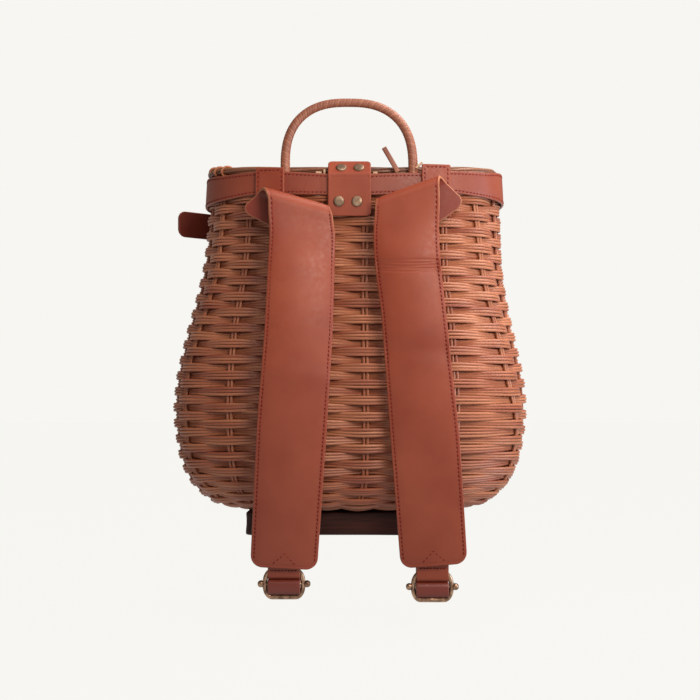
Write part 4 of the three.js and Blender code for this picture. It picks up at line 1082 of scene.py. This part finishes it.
def even_out(values):
    """A running mean along the first axis that keeps the ends where they are."""
    half = EVEN_ROWS // 2
    before = 2 * values[:1] - values[half:0:-1]
    after = 2 * values[-1:] - values[-2:-half - 2:-1]
    total = np.cumsum(np.concatenate([np.zeros_like(values[:1]), before, values, after]), 0)
    return (total[EVEN_ROWS:] - total[:-EVEN_ROWS]) / EVEN_ROWS


def lessened(x, low, high, share):
    """1 up to low, and less by the share from high on."""
    return 1 - share * smoothstep(x, low, high)


class Strap:
    """A shoulder strap's line: a flat root behind, half a turn over the fold and a long hanging
    layer. At each station it has a middle point, the slope of the line across it and half its
    width."""

    def __init__(self, fold, anchor, buckle, hang, drift, root, swell, twist, creases, creased):
        self.anchor, self.buckle, self.hang = anchor, buckle, hang
        self.turned = math.tan(math.radians(twist))
        centre, height, slope = fold
        folded = math.radians(slope)
        level = -math.atan2(hang[0, 1] - hang[-1, 1], hang[0, 0] - hang[-1, 0])
        skew = folded - level
        along = np.array([math.cos(folded), 0, math.sin(folded)])
        above = np.array([-math.sin(folded), 0, math.cos(folded)])
        over_drift, root_drift = drift
        turn = math.pi * np.linspace(1, 0, FOLD_ROWS, endpoint=False)[:, None]
        bend = (root_drift - over_drift) * turn ** 2 / (2 * math.pi)
        aside = FOLD_RADIUS * (over_drift * turn + bend)
        start = (np.array([centre, STRAP_BACK - 2 * FOLD_RADIUS, height])
                 - above * FOLD_RADIUS - along * aside[FOLD_ROWS // 2])
        left = np.linspace(root, 0, ROOT_ROWS, endpoint=False)[:, None]
        behind = (start + along * (aside[0] + root_drift * left) - above * left
                  - FORWARD * 2 * FOLD_RADIUS)
        over = (start + along * aside + above * FOLD_RADIUS * np.sin(turn)
                - FORWARD * FOLD_RADIUS * (1 - np.cos(turn)))
        down = np.linspace(0, start[2] - hang[-1, 0], HANG_ROWS)
        settled = smoothstep(down, 0, LEVEL_DROP)
        middle, wide, depth = hung(hang, start[2] - down)
        share = (hang[0, 0] - start[2] + down) / (hang[0, 0] - hang[-1, 0])
        depth = depth - swell * np.sin(math.pi * np.clip(share, 0, 1))
        slopes = folded + (level - folded) * settled
        straight = start[0] + down * math.tan(level)
        fall = np.stack([straight + settled * (middle - straight),
                         start[1] + settled * (depth - start[1]), start[2] - down], 1)
        half, share = hang[0, 2] / 2, left[:, 0] / root
        self.points = np.concatenate([behind, over, even_out(fall)])
        self.slopes = np.concatenate([
            folded + skew * share, np.full(FOLD_ROWS, folded), even_out(slopes)])
        self.halves = np.concatenate([
            (half + ROOT_WIDER * share) / np.cos(skew - skew * share),
            np.full(FOLD_ROWS, half / math.cos(skew)),
            even_out(wide / 2 / np.cos(slopes - level))])
        self.far = running_length(self.points)
        self.length = self.far[-1]
        self.fold_end = self.far[ROOT_ROWS + FOLD_ROWS]
        self.creases = [(self.at_height(row[0]), *row[1:]) for row in creases]
        self.fine = np.arange(*map(self.at_height, creased), CREASE_ROW) if creased else ()

    def hanging(self, height, values):
        """A value along the strap at this height of its hanging layer."""
        first = ROOT_ROWS + FOLD_ROWS
        return float(np.interp(-height, -self.points[first:, 2], values[first:]))

    def at_height(self, height):
        """Distance along the strap to this height of its hanging layer."""
        return self.hanging(height, self.far)

    def half(self, s):
        """Half width at a distance along the strap."""
        return np.interp(s, self.far, self.halves)

    def shape(self, s, w):
        """Middle surface: the middle point moved across by w, forward by a low bow across the
        width, and back on one side by a twist that starts in the fold and lessens below it."""
        slope = np.interp(s, self.far, self.slopes)
        across = np.stack([np.cos(slope), np.zeros_like(slope), np.sin(slope)], -1)
        share = np.clip(np.abs(w) / self.half(s), 0, 1)
        down = s - self.fold_end
        bowed = smoothstep(down, *BOW_COMES) * lessened(down, *BOW_GOES)
        twisted = smoothstep(down, -math.pi * FOLD_RADIUS, 0) * lessened(down, *TWIST_GOES)
        forward = STRAP_BOW * (1 - share ** 2) * bowed - self.turned * w * twisted
        middle = on_line(self.points, self.far, s)
        return middle + across * w[..., None] + FORWARD * forward[..., None]

    def relief(self, s, w):
        """Creases across the strap: at each distance along it a groove of a width and depth, or a
        swelling where the depth is below zero, on a line that leans, sags and waves."""
        total = np.zeros(np.shape(s))
        for at, width, depth, sag in self.creases:
            line = (CREASE_LEAN * w + sag * (1 - (w / CREASE_HALF) ** 2)
                    + CREASE_WAVE * np.sin(w / CREASE_WAVE_MM + at))
            total = total - depth * np.exp(-((s - at - line) / width) ** 2)
        return total

    def pale(self, s):
        """Share of paleness of the cut edges: full on the fold and little below it."""
        return lessened(s - self.fold_end, *PALE_GOES)


straps = {side: Strap(**facts) for side, facts in STRAPS.items()}
for side, strap in straps.items():
    piece = leather_piece(
        f"shoulder_strap_leather_{side}", STRAP_HIDE, strap.shape, strap.length, strap.half,
        STRAP_LEATHER, (ROOT_CORNER, TIP_CORNER), seam=STRAP_SEAM, pad=STRAP_PAD, spacing=2.2,
        relief=strap.relief, fine=strap.fine, pale=strap.pale)
    s = np.linspace(strap.fold_end - 2, strap.length - 8, 200)
    runs = [np.stack([s, edge * (strap.half(s) - STRAP_SEAM)], 1) for edge in (-1, 1)]
    low, high = strap.length - TIP_STITCH_LOW, strap.length - TIP_STITCH_HIGH
    runs.append([(low, -TIP_STITCH_HALF), (high, 0), (low, TIP_STITCH_HALF)])
    thread = add_piece(f"shoulder_strap_stitches_{side}",
                       sewn(strap.shape, runs, STRAP_LEATHER / 2 - STRAP_STITCH_SUNK), THREAD)


# Anchors of the straps

def anchor_shape(strap):
    """An anchor's middle surface, and its length: straight down over the band, then off it to the
    back of the strap's root."""
    centre, top = strap.anchor
    on_band = GAP + LEATHER + GAP + LEATHER / 2
    at_strap = STRAP_BACK + STRAP_LEATHER / 2 + GAP + LEATHER / 2

    def shape(s, w):
        height = top - s
        off = smoothstep(ANCHOR_BAND_END - height, 0, ANCHOR_BAND_END - ANCHOR_SETTLED)
        on = back_depth(centre + w, np.minimum(height, RIM), on_band)
        return points_at(centre + w, on + (at_strap - on) * off, height)
    return shape, top - ANCHOR_BOTTOM


for side, strap in straps.items():
    shape, length = anchor_shape(strap)
    half, seam = ANCHOR_WIDTH / 2, ANCHOR_SEAM
    leather_piece(f"strap_anchor_leather_{side}", STRAP_HIDE, shape, length, even(half), LEATHER,
                  ANCHOR_CORNERS, seam=seam, spacing=2.0)
    runs = [[(ANCHOR_SEWN, seam - half), (seam, seam - half)], [(seam, 4 - half), (seam, half - 4)],
            [(seam, half - seam), (ANCHOR_SEWN, half - seam)]]
    add_piece(f"strap_anchor_stitches_{side}", sewn(shape, runs, LEATHER / 2 - STITCH_SUNK), THREAD)


# Strips, buckles and lower straps

def path_shape(centre, path):
    """A strip's middle surface along a path in the plane of Y and Z, and the path's length."""
    far = running_length(path)

    def shape(s, w):
        y, z = (np.interp(s, far, column) for column in path.T)
        return points_at(centre + w, y, z)
    return shape, far[-1]


def arc(y, z, radius, start, end, count):
    """Points on an arc about (y, z), between two angles in degrees."""
    turn = np.radians(np.linspace(start, end, count))
    return np.stack([y + radius * np.cos(turn), z + radius * np.sin(turn)], 1)


def buckle_frame(place):
    """Wire frame: a closed tube along straight sides joined by quarters of an ellipse."""
    turn = np.linspace(0, math.pi / 2, CORNER_POINTS)
    wide, tall = BUCKLE_CORNER
    x = BUCKLE_HALF_WIDTH - wide * (1 - np.cos(turn))
    z = BUCKLE_HALF_HEIGHT - tall * (1 - np.sin(turn))
    quarter = np.stack([x, np.zeros(CORNER_POINTS), z], 1)
    path = np.concatenate([
        quarter[::way] * (across, 1, up)
        for across, up, way in ((1, 1, 1), (-1, 1, -1), (-1, -1, 1), (1, -1, -1))]) + place
    return tubes(path[None], FORWARD, WIRE, 0.5, 14, closed=True)


def buckle_bar(place):
    """Centre bar: a turned rod that ends in a knob on each side."""
    t = np.linspace(0, math.pi, CORNER_POINTS)
    knob = np.stack([KNOB * np.sin(t), BUCKLE_BAR - KNOB * (1 - np.cos(t))], 1)
    neck = [(BAR, BUCKLE_BAR - 2 * KNOB - KNOB_NECK), (BAR, 0)]
    half = np.concatenate([knob[1:-1], neck])
    return lathe(np.concatenate([half, half[-2::-1] * (1, -1)]), place, (1, 0, 0), 16)


for side, strap in straps.items():
    centre, height = strap.buckle
    tip_height, tip_depth = strap.hang[-1, [0, 3]]
    behind = STRAP_LEATHER / 2 + GAP + STRIP_LEATHER / 2
    depth = tip_depth + behind + STRIP_REACH + BUCKLE_BACK
    place = (centre, depth, height)
    add_piece(f"buckle_wire_{side}", joined([buckle_frame(place), buckle_bar(place)]),
              BUCKLE_BRASS, "bronze", [f"buckle_{side}"])

    wire, top, low = height + BUCKLE_HALF_HEIGHT, tip_height + STRIP_OVERLAP, tip_height + 2 * WIRE
    top_depth, low_depth = (strap.hanging(z, strap.points[:, 1]) + behind for z in (top, low))
    path = np.concatenate([
        [(top_depth, top), (low_depth, low)],
        arc(depth, wire - STRIP_HANGS, STRIP_REACH, 180, 360, 40),
        [(depth + STRIP_REACH - STRIP_SPREAD, wire + 2 * STRIP_REACH),
         (top_depth + STRIP_LEATHER + STRIP_SPREAD, top)]])
    shape, length = path_shape(centre, path)
    leather_piece(f"buckle_strip_leather_{side}", STRAP_HIDE, shape, length,
                  even(STRIP_WIDTH / 2), STRIP_LEATHER, spacing=1.2)
    seam = STRIP_OVERLAP + STRIP_SEAM
    runs = [[(seam, -STRIP_SEWN), (seam, STRIP_SEWN)]]
    thread = sewn(shape, runs, STRIP_LEATHER / 2 + STRIP_STITCH_OUT, *STRIP_STITCH)
    add_piece(f"buckle_strip_stitches_{side}", thread, THREAD)

    foot = FOOT_BACK - GAP - LOWER_LEATHER / 2
    slack = LOWER_LOOP - LOWER_LEATHER / 2 - BAR - GAP
    fall = foot + (depth + LOWER_BEHIND - foot) * LOWER_HANG[:, 1]
    path = np.concatenate([
        catmull_rom(np.stack([fall, LOWER_HANG[:, 0]], 1), 12),
        arc(depth, height - slack - LOOP_HANGS, LOWER_LOOP, 20, -180, 40),
        arc(depth, height - slack, LOWER_LOOP, -180, -260, 16)])
    shape, length = path_shape(centre, path)
    # The lower straps take the darker leather as painted shade
    piece = leather_piece(f"lower_strap_leather_{side}", BAND_AND_SHADED_LOOP_HIDE, shape, length, even(LOOP_HALF),
                          LOWER_LEATHER, spacing=1.2)


# Closing strap

def closure_line():
    """Line of the closing strap: round the front wall from its middle, then straight on."""
    turn = np.linspace(0.5, 0.75, 120) * math.pi
    off = 2 * GAP + LEATHER / 2
    half = half_width(CLOSURE_HEIGHT)
    x = (half + off) * drawn_out(np.cos(turn), FRONT_POWER) + lean(CLOSURE_HEIGHT)
    y = (half * FRONT_RATIO + off) * drawn_out(np.sin(turn), FRONT_POWER)
    hug = np.stack([x, y], 1)
    ahead = unit(hug[-1] - hug[-2])
    return np.concatenate([hug, hug[-1] + ahead * np.linspace(0, CLOSURE_FREE, 30)[1:, None]])


CLOSURE_LINE = closure_line()
CLOSURE_FAR = running_length(CLOSURE_LINE)
CLOSURE_LENGTH = CLOSURE_FAR[-1]


def closure_shape(s, w):
    """Closing strap: straight up and down across a line seen from above, its free end rising a
    little."""
    x, y = (np.interp(s, CLOSURE_FAR, column) for column in CLOSURE_LINE.T)
    rise = CLOSURE_RISE * np.clip((s - CLOSURE_LENGTH) / CLOSURE_FREE + 1, 0, 1)
    return points_at(x, y, CLOSURE_HEIGHT + rise + w)


closure = leather_piece(
    "closure_strap_leather", DARK_HIDE, closure_shape, CLOSURE_LENGTH, even(CLOSURE_WIDTH / 2),
    LEATHER, (0.0, CLOSURE_CORNER), seam=CLOSURE_SEAM, spacing=2.4, slot="leather_dark")
near, far_end = CLOSURE_SEWN_FROM, CLOSURE_LENGTH - CLOSURE_SEWN_TO
reach = CLOSURE_WIDTH / 2 - CLOSURE_SEAM
runs = [[(near, -reach), (far_end, -reach)], [(far_end, reach), (near, reach)],
        [(near, reach - 3), (near, 3 - reach)]]
closure_thread = add_piece("closure_strap_stitches",
                           sewn(closure_shape, runs, LEATHER / 2 - STITCH_SUNK), THREAD)


# Foot

def foot_block():
    """Foot: a rounded rectangle carried up a profile with soft edges, its faces a little uneven."""
    quarter = np.linspace(0, math.pi / 2, 7)
    outline = []
    for k, (x, y) in enumerate(((1, -1), (1, 1), (-1, 1), (-1, -1))):
        side = FOOT_FRONT if y > 0 else FOOT_BACK
        centre = (x * (FOOT_HALF - FOOT_CORNER), side - y * FOOT_CORNER)
        turn = quarter + (k - 1) * math.pi / 2
        outline.append(np.stack([np.cos(turn), np.sin(turn)], 1) * FOOT_CORNER + centre)
    line = np.concatenate(outline + [outline[0][:1]])
    far = running_length(line)
    at = np.linspace(0, far[-1], 420, endpoint=False)
    flat = on_line(line, far, at)
    reach = unit(flat - (0, (FOOT_BACK + FOOT_FRONT) / 2))
    rings = []
    for inset, height in FOOT_PROFILE:
        uneven = sum(size * np.sin(at / round_mm + height / up_mm)
                     for size, round_mm, up_mm in FOOT_UNEVEN)
        ring = flat - reach * (inset + np.where(inset < 2, FOOT_UNEVEN[0][0] + uneven, 0))[:, None]
        low = (FOOT_WORN * np.sin(at / FOOT_WORN_MM) + FOOT_WORN) * (height < 3) * (inset < 3)
        rings.append(np.concatenate([ring, (height + low - FOOT_HEIGHT - GAP)[:, None]], 1))
    return loft(np.array(rings))


add_piece("foot_block", foot_block(), FOOT_WOOD, "dark_wood", ["base_foot"])


# Floor, light and camera

def light(name, place, aim, size, power, colour, glint):
    """A soft square lamp at a place, turned to its aim, in metres and watts."""
    lamp = bpy.data.lights.new(name, "AREA")
    lamp.shape, lamp.size, lamp.energy, lamp.color = "SQUARE", size, power, linear(colour)[:3]
    lamp.specular_factor = glint
    holder = bpy.data.objects.new(name, lamp)
    holder.location = place
    way = Vector(aim) - Vector(place)
    holder.rotation_euler = way.to_track_quat("-Z", "Y").to_euler()
    bpy.context.scene.collection.objects.link(holder)


def studio():
    """A pale floor in the tone of the background, a dimmer room about it, and four soft lamps:
    the key at the upper right, a cool one at the right, one in front and a faint one above."""
    scene = bpy.context.scene
    scene.view_settings.view_transform = "Standard"
    world = bpy.data.worlds.new("pale_room")
    scene.world = world
    world.use_nodes = True
    tree = world.node_tree
    seen = node(tree, "ShaderNodeLightPath", {}, "Is Camera Ray")
    tone = node(tree, "ShaderNodeMix", {0: seen, 6: ROOM_TONE, 7: PALE}, 2, data_type="RGBA")
    feed(tree, tree.nodes["Background"], {"Color": tone})

    low = CAD_BOX[0][2] - FLOOR_DROP
    mesh = bpy.data.meshes.new("floor")
    corners = ((-1, -1), (1, -1), (1, 1), (-1, 1))
    corners = [(x * FLOOR_HALF, y * FLOOR_HALF, low) for x, y in corners]
    mesh.from_pydata(corners, [], [(0, 1, 2, 3)])
    floor = bpy.data.objects.new("floor", mesh)
    scene.collection.objects.link(floor)
    mesh.materials.append(finish_of("paper_pale", {
        "Base Color": "#1a1a1a", "Roughness": 1.0, "Specular IOR Level": 0.0,
        "Emission Color": PALE, "Emission Strength": 0.99})[0])
    floor.visible_diffuse = False
    for lamp in LAMPS:
        light(*lamp)


def camera():
    """The photograph's view: level with the lower basket, looking a little up, 1.46 m from its
    middle."""
    lens = bpy.data.cameras.new("camera")
    lens.sensor_width = SENSOR
    lens.lens = SENSOR * VIEW_DISTANCE / VIEW_WIDTH
    holder = bpy.data.objects.new("camera", lens)
    holder.location = ((np.array([0.0, -VIEW_DISTANCE, VIEW_HEIGHT]) + TO_FRAME) * MM).tolist()
    holder.rotation_euler = (math.pi / 2 + math.atan2(VIEW_RISE, VIEW_DISTANCE), 0.0, 0.0)
    bpy.context.scene.collection.objects.link(holder)
    bpy.context.scene.camera = holder


studio()
camera()

bpy.context.view_layer.update()
